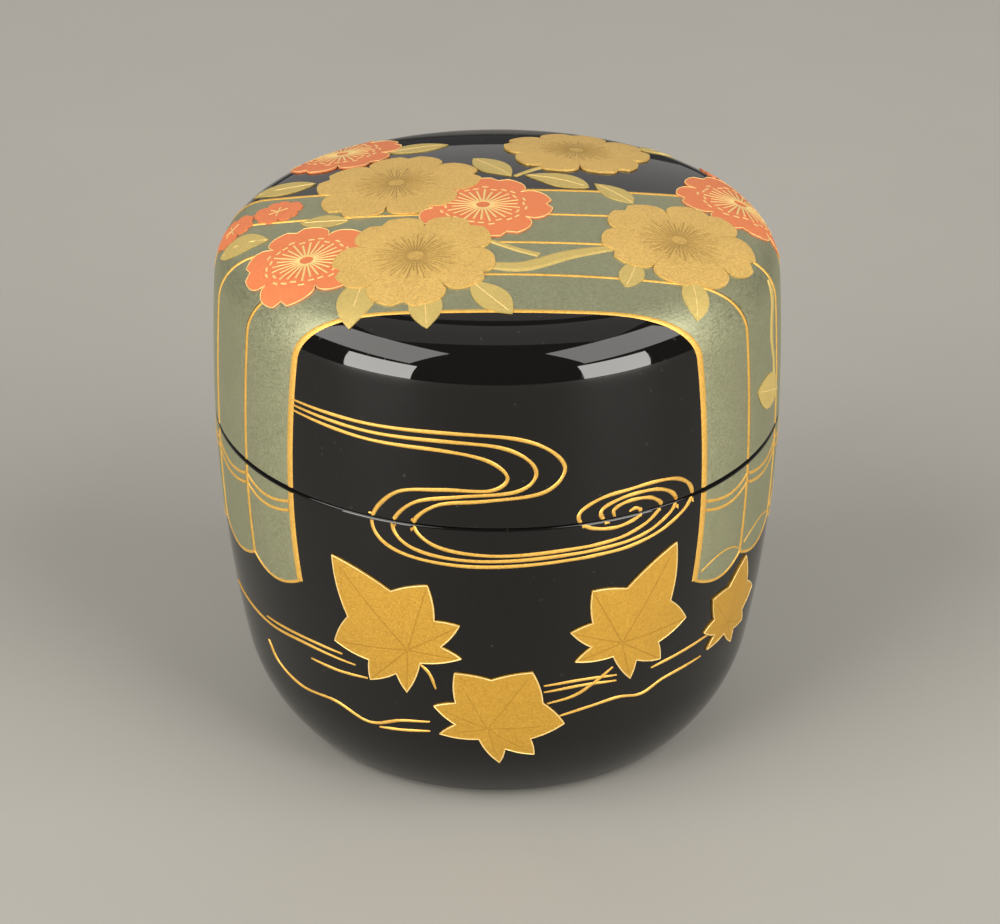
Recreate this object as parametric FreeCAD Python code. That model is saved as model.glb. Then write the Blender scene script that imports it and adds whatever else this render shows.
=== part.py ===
"""Lacquered tea caddy: a turned body and lift-off lid, their lacquer coats and raised decoration."""
import FreeCAD, Part
import math
import os

Vector = FreeCAD.Vector

# Outside shape, in millimetres
DIAMETER = 66.0
HEIGHT = 65.5
SEAM_HEIGHT = 40.0
CROWN_RADIUS = 116.0
SHOULDER_RADIUS = 6.6
LID_SIDE_RADIUS = 245.0
BODY_SIDE_RADIUS = 160.0
BELLY_RADIUS = 20.0
FOOT_EDGE_RADIUS = 4.0
FOOT_RADIUS = 22.5
FOOT_RING_WIDTH = 2.5
FOOT_RECESS_DEPTH = 0.8
SEAM_EDGE_RADIUS = 0.35

# Inside shape and the fit of the lid on the collar
LID_WALL = 2.9
LID_CROWN_WALL = 3.2
LID_CORNER_RADIUS = 4.0
LID_FIT_CLEARANCE = 0.08
COLLAR_HEIGHT = 8.0
COLLAR_WALL = 2.0
COLLAR_EDGE_RADIUS = 0.6
FLOOR_THICKNESS = 3.7
CAVITY_CORNER_RADIUS = 10.5

# Lacquer coats and how far each kind of decoration stands proud of them
OUTER_COAT = 0.5
INNER_COAT = 0.3
CULM_RELIEF = 0.08
LINE_RELIEF = 0.2
LEAF_RELIEF = 0.14
BLOSSOM_RELIEF = 0.17
GROUND_LINE = 0.14

# Raft of bamboo culms: plan lines across the lid, each bowed towards the back at its ends
RAFT_FRONT = -25.5
CULM_PITCH = 6.6
RAFT_BOWS = (3.7, 2.5, 4.4, 6.2, 7.0)
RAFT_LINE_WIDTH = 0.5
CULM_END_DROP = 11.6
CULM_END_SAG = 1.5
NODE_DROP = 1.5
NODE_SAG = 1.0
NODE_SPACING = 1.15
NODE_WIDTH = 0.45

# Stream and water lines, seen from the front: across from the axis, and up from the seam
STREAM_WIDTH = 0.42
STREAM_LINES = (
    ((-23.2, 11.3), (-14.6, 11.2), (-5.0, 11.4), (1.6, 11.0), (5.6, 9.4), (7.3, 6.9), (5.1, 4.4),
     (-1.1, 3.5), (-6.4, 2.7), (-9.1, 0.1), (-6.8, -2.4), (-0.8, -3.3), (7.9, -3.0), (11.2, -2.85),
     (14.0, -2.45), (16.2, -1.6), (17.5, -0.6), (18.0, 0.3), (17.4, 1.1), (16.5, 1.6), (15.0, 1.8),
     (13.6, 1.6), (12.7, 1.0), (12.9, 0.0)),
    ((-23.2, 10.7), (-14.6, 10.3), (-5.1, 10.4), (0.4, 9.9), (3.5, 8.2), (4.1, 6.2), (2.0, 4.6),
     (-4.0, 3.9), (-9.0, 2.7), (-11.4, -0.4), (-9.3, -3.0), (-3.0, -4.0), (7.9, -3.65), (11.2, -3.5),
     (14.6, -3.2), (16.8, -2.6), (18.5, -1.6), (19.4, -0.7), (19.7, 0.3), (19.1, 1.4), (17.8, 2.2),
     (16.1, 2.5), (13.9, 2.4), (12.0, 1.8), (11.3, 1.1), (11.5, 0.2), (12.2, -0.4)),
    ((-23.2, 10.1), (-14.6, 9.4), (-6.1, 9.3), (-1.2, 8.4), (1.1, 6.4), (-0.6, 4.8), (-6.0, 4.6),
     (-11.0, 3.6), (-13.7, -0.3), (-11.4, -3.5), (-4.0, -4.7), (7.9, -4.35), (11.2, -4.2), (14.6, -3.95),
     (17.9, -3.1), (20.2, -1.8), (21.3, -0.6), (21.5, 0.6), (20.9, 1.9), (19.5, 2.9), (17.2, 3.3),
     (14.4, 3.2), (11.7, 2.9), (9.8, 2.1), (8.9, 1.2), (9.1, 0.1), (10.3, -0.7), (12.0, -1.1), (13.5, -1.1),
     (15.2, -0.6), (15.8, 0.1), (15.2, 0.7), (14.4, 0.5)),
)
WATER_WIDTH = 0.4
WATER_LINES = (
    ((-30.6, -20.6), (-26.4, -20.9), (-22.0, -20.4), (-16.0, -20.6)),
    ((-26.6, -20.1), (-22.0, -19.6), (-17.5, -19.6)),
    ((-21.2, -22.2), (-18.0, -22.3), (-14.6, -22.0)),
    ((-26.6, -23.8), (-25.4, -26.2), (-22.6, -27.5), (-18.6, -27.2), (-14.6, -28.6), (-11.0, -27.2),
     (-7.6, -26.6)),
    ((-13.4, -28.9), (-11.0, -28.6), (-7.6, -28.0)),
    ((5.2, -21.0), (9.6, -20.8), (13.4, -21.1)),
    ((5.2, -21.9), (9.6, -21.6), (13.4, -21.9)),
    ((17.4, -21.6), (20.3, -21.2), (25.4, -20.6)),
    ((6.6, -25.7), (10.5, -24.9), (13.7, -24.5), (16.4, -25.0), (19.0, -23.9), (23.4, -23.4)),
    ((-8.8, -18.2), (-7.6, -19.6), (-6.9, -21.6)),
    ((13.0, -19.8), (11.2, -21.3), (8.7, -22.9), (5.6, -23.6)),
)

# Maple leaves: azimuth from the front, height from the seam, direction of the long lobe, its length, and
# how full the other lobes are
MAPLE_LEAVES = (
    (-18.0, -16.6, 131.0, 13.8, 0.86),
    (-2.0, -27.0, 58.0, 9.6, 1.14),
    (25.6, -16.6, 60.0, 13.2, 0.84),
    (57.0, -21.0, 72.0, 8.4, 1.0),
)
LOBE_ANGLES = (0.0, 57.0, 97.0, 135.0)
LOBE_LENGTHS = (1.0, 0.8, 0.62, 0.52)
LOBE_NOTCHES = (0.66, 0.47, 0.34, 0.18)
LOBE_BULGE = 0.05

# Lid flowers: place on the unrolled top (right of the axis, behind the axis), radius, turn
GOLD_BLOSSOMS = (
    (-11.6, 4.0, 9.6, 10.0), (-9.0, -15.0, 9.3, 46.0), (9.4, 16.0, 8.8, 20.0), (20.4, -9.0, 9.2, 64.0))
RED_BLOSSOMS = (
    (-21.2, -13.2, 7.6, 30.0), (-1.6, -3.6, 7.8, 4.0), (28.4, 5.0, 8.0, 52.0), (-18.6, 18.6, 7.2, 15.0))
RED_BUDS = ((-25.2, 0.6, 2.9, 20.0), (-30.8, -0.4, 2.9, 40.0), (27.0, 17.0, 2.7, 75.0))
PETALS = 5
PETAL_BASE = 0.68
PETAL_SHOULDER = 0.95
PETAL_NOTCH = 0.91
PETAL_SHOULDER_ANGLE = 23.0
PETAL_TIP_ANGLE = 8.0

# Lid leaves: middle on the unrolled top, direction, length
LID_LEAVES = (
    (-15.4, -22.4, -102.0, 8.4), (-7.8, -24.6, -87.0, 7.4), (-0.6, -23.4, -53.0, 7.4),
    (14.8, -17.6, -104.0, 5.6), (21.9, -19.9, -81.0, 6.4), (13.6, 1.6, 132.0, 6.4),
    (-0.6, 8.6, 126.0, 7.6), (7.4, 4.4, -24.0, 7.8), (-9.6, 17.6, 14.0, 7.4),
    (-25.0, 8.0, 176.0, 7.6), (-29.4, -5.4, 162.0, 7.4), (-19.6, -4.4, 168.0, 5.8),
    (43.0, -16.4, -132.0, 8.4), (20.0, 22.6, 40.0, 7.4),
)
LEAF_SLENDERNESS = 0.25
LID_BRANCHES = (
    ((13.4, -12.2, 1.3), (8.0, -14.6, 2.2), (2.8, -17.4, 2.3), (-2.4, -17.0, 1.4)),
    ((4.6, -15.0, 1.2), (1.6, -13.6, 1.0), (-3.0, -10.6, 0.5)),
    ((2.0, 5.2, 0.5), (5.0, 8.4, 0.7), (8.4, 11.0, 0.8)),
    ((31.9, -9.6, 1.1), (34.0, -11.0, 1.5), (37.5, -13.0, 1.5), (41.0, -13.0, 1.0), (43.5, -13.6, 0.9)),
)

# Room that the cutting prisms need above and below the surface, and the largest scrap that is left out
PRISM_ABOVE = 5.0
PRISM_BELOW = 13.0
CUT_MARGIN = 6.0
SCRAP_VOLUME = 0.02

RADIUS = DIAMETER / 2
LID_BORE = RADIUS - LID_WALL
COLLAR_OUTER = LID_BORE - LID_FIT_CLEARANCE
CAVITY_RADIUS = COLLAR_OUTER - COLLAR_WALL
COLLAR_TOP = SEAM_HEIGHT + COLLAR_HEIGHT
CAVITY_FLOOR = FOOT_RECESS_DEPTH + FLOOR_THICKNESS
FOOT_RING_INNER = FOOT_RADIUS - FOOT_RING_WIDTH


def circles_meet(first, first_radius, second, second_radius, side):
    """Return where two circles cross, on the left (1) or right (-1) of the line between their centres."""
    across = second[0] - first[0]
    up = second[1] - first[1]
    apart = math.hypot(across, up)
    along = (apart ** 2 + first_radius ** 2 - second_radius ** 2) / (2 * apart)
    off = side * math.sqrt(first_radius ** 2 - along ** 2)
    return (first[0] + (along * across - off * up) / apart, first[1] + (along * up + off * across) / apart)


def direction(start, end):
    """Return the angle of the line from one section point to another."""
    return math.atan2(end[1] - start[1], end[0] - start[0])


# Outside profile: tangent arcs as centre, radius, first and last angle, from the top of the lid to the foot
UP = math.pi / 2
CROWN_CENTRE = (0.0, HEIGHT - CROWN_RADIUS)
LID_SIDE_CENTRE = (RADIUS - LID_SIDE_RADIUS, SEAM_HEIGHT)
BODY_SIDE_CENTRE = (RADIUS - BODY_SIDE_RADIUS, SEAM_HEIGHT)
FOOT_CENTRE = (FOOT_RADIUS, FOOT_EDGE_RADIUS)
SHOULDER_CENTRE = circles_meet(
    LID_SIDE_CENTRE, LID_SIDE_RADIUS - SHOULDER_RADIUS, CROWN_CENTRE, CROWN_RADIUS - SHOULDER_RADIUS, 1)
BELLY_CENTRE = circles_meet(
    BODY_SIDE_CENTRE, BODY_SIDE_RADIUS - BELLY_RADIUS, FOOT_CENTRE, BELLY_RADIUS - FOOT_EDGE_RADIUS, 1)
CROWN_END = direction(CROWN_CENTRE, SHOULDER_CENTRE)
SHOULDER_END = direction(LID_SIDE_CENTRE, SHOULDER_CENTRE)
BODY_SIDE_END = direction(BODY_SIDE_CENTRE, BELLY_CENTRE)
BELLY_END = direction(BELLY_CENTRE, FOOT_CENTRE)
LID_ARCS = (
    (CROWN_CENTRE, CROWN_RADIUS, UP, CROWN_END),
    (SHOULDER_CENTRE, SHOULDER_RADIUS, CROWN_END, SHOULDER_END),
    (LID_SIDE_CENTRE, LID_SIDE_RADIUS, SHOULDER_END, 0.0),
)
BODY_ARCS = (
    (BODY_SIDE_CENTRE, BODY_SIDE_RADIUS, 0.0, BODY_SIDE_END),
    (BELLY_CENTRE, BELLY_RADIUS, BODY_SIDE_END, BELLY_END),
    (FOOT_CENTRE, FOOT_EDGE_RADIUS, BELLY_END, -UP),
)


def on_circle(centre, radius, angle):
    return (centre[0] + radius * math.cos(angle), centre[1] + radius * math.sin(angle))


def section_point(point):
    """Put a section point, radius and height, on the half plane behind the axis."""
    return Vector(0, point[0], point[1])


def line(start, end):
    return Part.LineSegment(section_point(start), section_point(end)).toShape()


def arc(centre, radius, first, last):
    ends = [section_point(on_circle(centre, radius, angle)) for angle in (first, (first + last) / 2, last)]
    return Part.Arc(*ends).toShape()


def profile(arcs, offset):
    """Return the edges of a run of profile arcs, moved outwards by an offset."""
    return [arc(centre, radius + offset, first, last) for centre, radius, first, last in arcs]


def ended_at(arcs, index, height, offset):
    """Return the arcs with the one that meets the seam stopped where its offset copy reaches a height."""
    changed = list(arcs)
    centre, radius, first, last = changed[index]
    stop = math.asin((height - centre[1]) / (radius + offset))
    changed[index] = (centre, radius, first, stop) if index else (centre, radius, stop, last)
    return changed


def profile_end(arcs, index, offset):
    centre, radius, first, last = arcs[index]
    return on_circle(centre, radius + offset, last if index else first)


def turned(edges):
    """Turn a closed section about the axis."""
    face = Part.Face(Part.Wire(Part.__sortEdges__(edges)))
    return face.revolve(Vector(0, 0, 0), Vector(0, 0, 1), 360)


def chain(*points):
    return [line(start, end) for start, end in zip(points, points[1:])]


# Inside surfaces: each takes how far its coat's back lies behind the surface
LID_CEILING_RADIUS = CROWN_RADIUS - LID_CROWN_WALL
LID_CORNER_ACROSS = LID_BORE - LID_CORNER_RADIUS
LID_CORNER_CENTRE = (
    LID_CORNER_ACROSS,
    CROWN_CENTRE[1] + math.sqrt((LID_CEILING_RADIUS - LID_CORNER_RADIUS) ** 2 - LID_CORNER_ACROSS ** 2))
LID_CORNER_ANGLE = direction(CROWN_CENTRE, LID_CORNER_CENTRE)
CAVITY_CORNER_CENTRE = (CAVITY_RADIUS - CAVITY_CORNER_RADIUS, CAVITY_FLOOR + CAVITY_CORNER_RADIUS)


def lid_inside(back, foot):
    """Return the edges of the lid's bore, corner and ceiling, from the foot height up to the axis."""
    bore = LID_BORE + back
    return [
        line((bore, foot), (bore, LID_CORNER_CENTRE[1])),
        arc(LID_CORNER_CENTRE, LID_CORNER_RADIUS + back, 0.0, LID_CORNER_ANGLE),
        arc(CROWN_CENTRE, LID_CEILING_RADIUS + back, LID_CORNER_ANGLE, UP),
    ]


def body_inside(back, foot):
    """Return the edges from the collar's outside, over its top and down to the cavity's floor."""
    outer = COLLAR_OUTER - back
    inner = CAVITY_RADIUS + back
    edge = COLLAR_EDGE_RADIUS - back
    bend = COLLAR_TOP - COLLAR_EDGE_RADIUS
    outer_bend = (COLLAR_OUTER - COLLAR_EDGE_RADIUS, bend)
    inner_bend = (CAVITY_RADIUS + COLLAR_EDGE_RADIUS, bend)
    corner = CAVITY_CORNER_RADIUS + back
    return [
        line((outer, foot), (outer, bend)),
        arc(outer_bend, edge, 0.0, UP),
        line((outer_bend[0], COLLAR_TOP - back), (inner_bend[0], COLLAR_TOP - back)),
        arc(inner_bend, edge, UP, math.pi),
        line((inner, bend), (inner, CAVITY_CORNER_CENTRE[1])),
        arc(CAVITY_CORNER_CENTRE, corner, 0.0, -UP),
        line((CAVITY_CORNER_CENTRE[0], CAVITY_FLOOR - back), (0.0, CAVITY_FLOOR - back)),
    ]


def underside(rise):
    """Return the points of the foot ring and the recess inside it, from the rim of the foot to the axis."""
    return [
        (FOOT_RADIUS, rise),
        (FOOT_RING_INNER, rise),
        (FOOT_RING_INNER - FOOT_RECESS_DEPTH, FOOT_RECESS_DEPTH + rise),
        (0.0, FOOT_RECESS_DEPTH + rise),
    ]


# Cores and coats
LID_RIM_BACK = SEAM_HEIGHT + OUTER_COAT
LEDGE_BACK = SEAM_HEIGHT - OUTER_COAT
LID_BACK_ARCS = ended_at(LID_ARCS, 2, LID_RIM_BACK, -OUTER_COAT)
BODY_BACK_ARCS = ended_at(BODY_ARCS, 0, LEDGE_BACK, -OUTER_COAT)


def make_lid_core():
    rim = profile_end(LID_BACK_ARCS, 2, -OUTER_COAT)
    edges = profile(LID_BACK_ARCS, -OUTER_COAT) + lid_inside(INNER_COAT, LID_RIM_BACK)
    edges += chain(rim, (LID_BORE + INNER_COAT, LID_RIM_BACK))
    edges += chain((0.0, CROWN_CENTRE[1] + LID_CEILING_RADIUS + INNER_COAT), (0.0, HEIGHT - OUTER_COAT))
    return turned(edges)


def make_lid_outer_coat():
    front = ended_at(LID_ARCS, 2, SEAM_HEIGHT + SEAM_EDGE_RADIUS, 0.0)
    edge = profile_end(front, 2, 0.0)
    edge_centre = (edge[0] - SEAM_EDGE_RADIUS, edge[1])
    back = profile_end(LID_BACK_ARCS, 2, -OUTER_COAT)
    edges = profile(front, 0.0) + profile(LID_BACK_ARCS, -OUTER_COAT)
    edges += [arc(edge_centre, SEAM_EDGE_RADIUS, 0.0, -UP)]
    edges += chain((edge_centre[0], SEAM_HEIGHT), (LID_BORE + INNER_COAT, SEAM_HEIGHT),
                   (LID_BORE + INNER_COAT, LID_RIM_BACK), back)
    edges += chain((0.0, HEIGHT - OUTER_COAT), (0.0, HEIGHT))
    return turned(edges)


def make_lid_inner_coat():
    edges = lid_inside(0.0, SEAM_HEIGHT) + lid_inside(INNER_COAT, SEAM_HEIGHT)
    ceiling = CROWN_CENTRE[1] + LID_CEILING_RADIUS
    edges += chain((LID_BORE, SEAM_HEIGHT), (LID_BORE + INNER_COAT, SEAM_HEIGHT))
    edges += chain((0.0, ceiling), (0.0, ceiling + INNER_COAT))
    return turned(edges)


def make_body_core():
    ledge = profile_end(BODY_BACK_ARCS, 0, -OUTER_COAT)
    edges = profile(BODY_BACK_ARCS, -OUTER_COAT) + body_inside(INNER_COAT, LEDGE_BACK)
    edges += chain(ledge, (COLLAR_OUTER - INNER_COAT, LEDGE_BACK))
    edges += chain(*underside(OUTER_COAT), (0.0, CAVITY_FLOOR - INNER_COAT))
    return turned(edges)


def make_body_outer_coat():
    front = ended_at(BODY_ARCS, 0, SEAM_HEIGHT - SEAM_EDGE_RADIUS, 0.0)
    edge = profile_end(front, 0, 0.0)
    edge_centre = (edge[0] - SEAM_EDGE_RADIUS, edge[1])
    back = profile_end(BODY_BACK_ARCS, 0, -OUTER_COAT)
    edges = profile(front, 0.0) + profile(BODY_BACK_ARCS, -OUTER_COAT)
    edges += [arc(edge_centre, SEAM_EDGE_RADIUS, 0.0, UP)]
    edges += chain((edge_centre[0], SEAM_HEIGHT), (COLLAR_OUTER - INNER_COAT, SEAM_HEIGHT),
                   (COLLAR_OUTER - INNER_COAT, LEDGE_BACK), back)
    edges += chain((FOOT_RADIUS, 0.0), (FOOT_RADIUS, OUTER_COAT))
    return turned(edges)


def make_body_inner_coat():
    edges = body_inside(0.0, SEAM_HEIGHT) + body_inside(INNER_COAT, SEAM_HEIGHT)
    edges += chain((COLLAR_OUTER, SEAM_HEIGHT), (COLLAR_OUTER - INNER_COAT, SEAM_HEIGHT))
    edges += chain((0.0, CAVITY_FLOOR - INNER_COAT), (0.0, CAVITY_FLOOR))
    return turned(edges)


def make_underside_coat():
    below = underside(0.0)
    above = underside(OUTER_COAT)
    return turned(chain(*below, *reversed(above), below[0]))


# Thin shells on the outside surfaces, which the decoration is cut from
def lid_layer(relief):
    """Return a shell that follows the lid's outside down to the rounded edge of its rim."""
    low = SEAM_HEIGHT + SEAM_EDGE_RADIUS
    edges = chain((0.0, HEIGHT), (0.0, HEIGHT + relief))
    return turned(edges + layer_edges(LID_ARCS, 2, low, relief))


def body_layer(relief):
    """Return a shell that follows the body's outside from the rounded edge of its ledge to its foot edge."""
    high = SEAM_HEIGHT - SEAM_EDGE_RADIUS
    wall = BODY_ARCS[:2]
    near = on_circle(BELLY_CENTRE, BELLY_RADIUS, BELLY_END)
    far = on_circle(BELLY_CENTRE, BELLY_RADIUS + relief, BELLY_END)
    return turned(chain(near, far) + layer_edges(wall, 0, high, relief))


def layer_edges(arcs, index, height, relief):
    near = ended_at(arcs, index, height, 0.0)
    far = ended_at(arcs, index, height, relief)
    join = chain(profile_end(near, index, 0.0), profile_end(far, index, relief))
    return profile(near, 0.0) + profile(far, relief) + join


def surface_point(arcs, run):
    """Return the section point and the angle of the normal at a run along arcs from their first end."""
    angle = UP
    for centre, radius, first, last in arcs:
        angle = max(first - max(run, 0.0) / radius, last)
        point = on_circle(centre, radius, angle)
        if angle > last:
            break
        run -= radius * (first - last)
    return point, angle


def surface_frame(azimuth, arcs, run, spread):
    """Return the placement at an azimuth from the front, square to the surface within a spread."""
    (radius_out, height), angle = surface_point(arcs, run)
    lean = (surface_point(arcs, run - spread)[1] + angle + surface_point(arcs, run + spread)[1]) / 3
    turn = math.radians(azimuth)
    out = Vector(math.sin(turn), -math.cos(turn), 0)
    right = Vector(math.cos(turn), math.sin(turn), 0)
    normal = out * math.cos(lean) + Vector(0, 0, math.sin(lean))
    above = Vector(0, 0, math.cos(lean)) - out * math.sin(lean)
    place = out * radius_out + Vector(0, 0, height)
    return FreeCAD.Placement(place, FreeCAD.Rotation(right, above, normal, "ZXY"))


def top_frame(across, behind, spread):
    """Return the placement on the lid at a point of its unrolled top, with local axes along the plan's."""
    azimuth = math.degrees(math.atan2(across, -behind))
    frame = surface_frame(azimuth, LID_ARCS, math.hypot(across, behind), spread)
    return frame.multiply(FreeCAD.Placement(Vector(), FreeCAD.Rotation(Vector(0, 0, 1), -azimuth)))


def wall_frame(azimuth, drop):
    """Return the placement on the body's wall at an azimuth and a drop below the seam."""
    return surface_frame(azimuth, BODY_ARCS, drop, 0.0)


def flat(across, up):
    return Vector(across, up, 0)


def polar(radius, degrees):
    angle = math.radians(degrees)
    return flat(radius * math.cos(angle), radius * math.sin(angle))


def prism(edges, frame):
    """Extrude a flat outline through the surface at a placement."""
    face = Part.Face(Part.Wire(Part.__sortEdges__(edges)))
    face.translate(Vector(0, 0, PRISM_ABOVE))
    solid = face.extrude(Vector(0, 0, -PRISM_ABOVE - PRISM_BELOW))
    solid.Placement = frame.multiply(solid.Placement)
    return solid


def segment(start, end):
    return Part.LineSegment(start, end).toShape()


def bowed(start, end, bulge):
    """Return an arc from start to end that bulges to the right of its way by a share of its chord."""
    way = end - start
    middle = (start + end) * 0.5 + Vector(way.y, -way.x, 0) * bulge
    return Part.Arc(start, middle, end).toShape()


def spline(points):
    curve = Part.BSplineCurve()
    curve.interpolate(points)
    return curve


def strip(points, widths):
    """Return the outline of a band along a spline, with a width at each of its points."""
    curve = spline(points)
    stops = [curve.parameter(point) for point in points]
    sides = []
    for sign in (1, -1):
        side = []
        for stop, width in zip(stops, widths):
            way = curve.tangent(stop)[0]
            side.append(curve.value(stop) + Vector(-way.y, way.x, 0) * (sign * width / 2))
        sides.append(side)
    left, right = sides
    ends = [segment(left[0], right[0]), segment(left[-1], right[-1])]
    return [spline(left).toShape(), spline(right).toShape()] + ends


def evenly(points, width):
    return strip(points, [width] * len(points))


def cut_from(layer, prisms, hidden=()):
    """Return the solids that prisms cut out of a layer, less what other prisms hide."""
    solids = []
    for index, each in enumerate(prisms):
        piece = layer.common(each)
        for cover in [*hidden, *prisms[:index]]:
            if piece.BoundBox.intersect(cover.BoundBox):
                piece = piece.cut(cover)
        solids += [solid for solid in piece.Solids if solid.Volume > SCRAP_VOLUME]
    return Part.makeCompound(solids)


# Raft of bamboo culms
def raft_line(index, shift):
    """Return a plan line of the raft as its two ends and the middle control point of its bow."""
    reach = RADIUS + CUT_MARGIN
    middle = RAFT_FRONT + index * CULM_PITCH + shift
    end = middle + RAFT_BOWS[index] * (reach / RADIUS) ** 2
    return [flat(-reach, end), flat(0, 2 * middle - end), flat(reach, end)]


def raft_azimuth(index):
    """Return where a plan line of the raft comes down the wall, in degrees from the front."""
    middle = RAFT_FRONT + index * CULM_PITCH
    bow = RAFT_BOWS[index] / RADIUS ** 2
    slope = 1 + 2 * bow * middle
    root = math.sqrt(slope ** 2 - 4 * bow ** 2 * (middle ** 2 - RADIUS ** 2))
    across_squared = (root - slope) / (2 * bow ** 2)
    return math.degrees(math.atan2(math.sqrt(across_squared), -middle - bow * across_squared))


def raft_prism(front, back):
    """Stand a prism on the plan between two lines of the raft, through the whole height."""
    edges = [segment(front[0], back[0]), segment(front[2], back[2])]
    for points in (front, back):
        curve = Part.BezierCurve()
        curve.setPoles(points)
        edges.append(curve.toShape())
    face = Part.Face(Part.Wire(Part.__sortEdges__(edges)))
    return face.extrude(Vector(0, 0, HEIGHT + CUT_MARGIN))


def culm_prism(index):
    return raft_prism(raft_line(index, RAFT_LINE_WIDTH / 2), raft_line(index + 1, -RAFT_LINE_WIDTH / 2))


def raft_line_prism(index):
    return raft_prism(raft_line(index, -RAFT_LINE_WIDTH / 2), raft_line(index, RAFT_LINE_WIDTH / 2))


CULMS = range(len(RAFT_BOWS) - 1)
LINES = range(len(RAFT_BOWS))
SIDES = (-1, 1)


def culm_frame(index, side):
    """Return the placement at the seam on the middle of a culm, and half the culm's width there."""
    first, last = raft_azimuth(index), raft_azimuth(index + 1)
    half = RADIUS * math.sin(math.radians(last - first) / 2)
    return wall_frame(side * (first + last) / 2, 0.0), half


def sagging(half, drop, sag):
    """Return three points of a sagging line across a culm."""
    return [flat(-half, -drop), flat(0, -drop - sag), flat(half, -drop)]


def culm_end_prism(index, side):
    """Return the prism of a culm's wall below the seam, down to its rounded end."""
    frame, half = culm_frame(index, side)
    low = sagging(half, CULM_END_DROP, CULM_END_SAG)
    top = [flat(-half - CUT_MARGIN, 0), flat(half + CUT_MARGIN, 0)]
    out = [flat(-half - CUT_MARGIN, -CULM_END_DROP), flat(half + CUT_MARGIN, -CULM_END_DROP)]
    edges = [Part.Arc(*low).toShape(), segment(*top)]
    edges += [segment(top[0], out[0]), segment(out[0], low[0])]
    edges += [segment(top[1], out[1]), segment(out[1], low[2])]
    return prism(edges, frame)


def culm_band(index, side, drop, sag, width):
    frame, half = culm_frame(index, side)
    return prism(evenly(sagging(half - RAFT_LINE_WIDTH / 2, drop, sag), width), frame)


# Stream and water
def front_prism(points, width):
    """Extrude a line drawn on the front view back to the axis."""
    raised = [flat(across, SEAM_HEIGHT + up) for across, up in points]
    face = Part.Face(Part.Wire(Part.__sortEdges__(evenly(raised, width))))
    face.rotate(Vector(), Vector(1, 0, 0), 90)
    face.translate(Vector(0, -RADIUS - CUT_MARGIN, 0))
    return face.extrude(Vector(0, RADIUS, 0))


def both_faces(prisms):
    """Return the prisms with copies turned to the back."""
    backs = [each.copy() for each in prisms]
    for back in backs:
        back.rotate(Vector(), Vector(0, 0, 1), 180)
    return prisms + backs


# Flowers and leaves
def blossom_edges(radius):
    edges = []
    share = 180.0 / PETALS
    for petal in range(PETALS):
        axis = 2 * share * petal
        notch = polar(radius * PETAL_NOTCH, axis)
        for side in SIDES:
            base = polar(radius * PETAL_BASE, axis + side * share)
            shoulder = polar(radius * PETAL_SHOULDER, axis + side * PETAL_SHOULDER_ANGLE)
            tip = polar(radius, axis + side * PETAL_TIP_ANGLE)
            edges += [Part.Arc(base, shoulder, tip).toShape(), segment(tip, notch)]
    return edges


def spun(frame, degrees):
    return frame.multiply(FreeCAD.Placement(Vector(), FreeCAD.Rotation(Vector(0, 0, 1), degrees)))


def blossom_prisms(flowers, margin=0.0):
    return [prism(blossom_edges(size + margin), spun(top_frame(across, behind, size), turn))
            for across, behind, size, turn in flowers]


def leaf_prisms(leaves, margin=0.0):
    prisms = []
    for across, behind, turn, length in leaves:
        stem = flat(-length / 2 - margin, 0)
        tip = flat(length / 2 + margin, 0)
        bulge = LEAF_SLENDERNESS + margin / length
        edges = [bowed(stem, tip, bulge), bowed(tip, stem, bulge)]
        prisms.append(prism(edges, spun(top_frame(across, behind, length / 2), turn)))
    return prisms


def branch_prisms(branches, margin=0.0):
    prisms = []
    for points in branches:
        across, behind, width = points[len(points) // 2]
        flats = [flat(x - across, y - behind) for x, y, w in points]
        outline = strip(flats, [w + 2 * margin for x, y, w in points])
        prisms.append(prism(outline, top_frame(across, behind, width)))
    return prisms


def maple_edges(length, fullness):
    """Return a lobed leaf about the point where its veins meet, with its long lobe to the right."""
    corners = [polar(length, LOBE_ANGLES[0])]
    lobes = list(zip(LOBE_ANGLES, LOBE_ANGLES[1:], LOBE_LENGTHS[1:], LOBE_NOTCHES))
    for angle, following, reach, notch in lobes:
        corners.append(polar(length * fullness * notch, (angle + following) / 2))
        corners.append(polar(length * fullness * reach, following))
    stem = polar(length * fullness * LOBE_NOTCHES[-1], 180.0)
    mirrored = [flat(point.x, -point.y) for point in reversed(corners[1:])]
    loop = corners + [stem] + mirrored
    return [bowed(start, end, LOBE_BULGE) for start, end in zip(loop, loop[1:] + loop[:1])]


def maple_prisms(leaves, margin=0.0):
    return [prism(maple_edges(length + margin, fullness), spun(wall_frame(azimuth, -up), turn))
            for azimuth, up, turn, length, fullness in leaves]


def opposite(leaves):
    return [(azimuth + 180.0, *rest) for azimuth, *rest in leaves]


LID_NODES = {}
BODY_NODES = {}

# Lid decoration, from the flowers on top down to the raft under them
gold_flowers = blossom_prisms(GOLD_BLOSSOMS)
over_red = blossom_prisms(GOLD_BLOSSOMS, GROUND_LINE)
over_leaves = over_red + blossom_prisms(RED_BLOSSOMS + RED_BUDS, GROUND_LINE)
over_branches = over_leaves + leaf_prisms(LID_LEAVES, GROUND_LINE)
over_raft = over_branches + branch_prisms(LID_BRANCHES, GROUND_LINE)
blossom_layer = lid_layer(BLOSSOM_RELIEF)
leaf_layer = lid_layer(LEAF_RELIEF)
line_layer = lid_layer(LINE_RELIEF)
stream = both_faces([front_prism(points, STREAM_WIDTH) for points in STREAM_LINES])
raft_lines = [raft_line_prism(index) for index in LINES]
raft_border = raft_prism(raft_line(0, -RAFT_LINE_WIDTH / 2), raft_line(1, 0.0))

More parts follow.
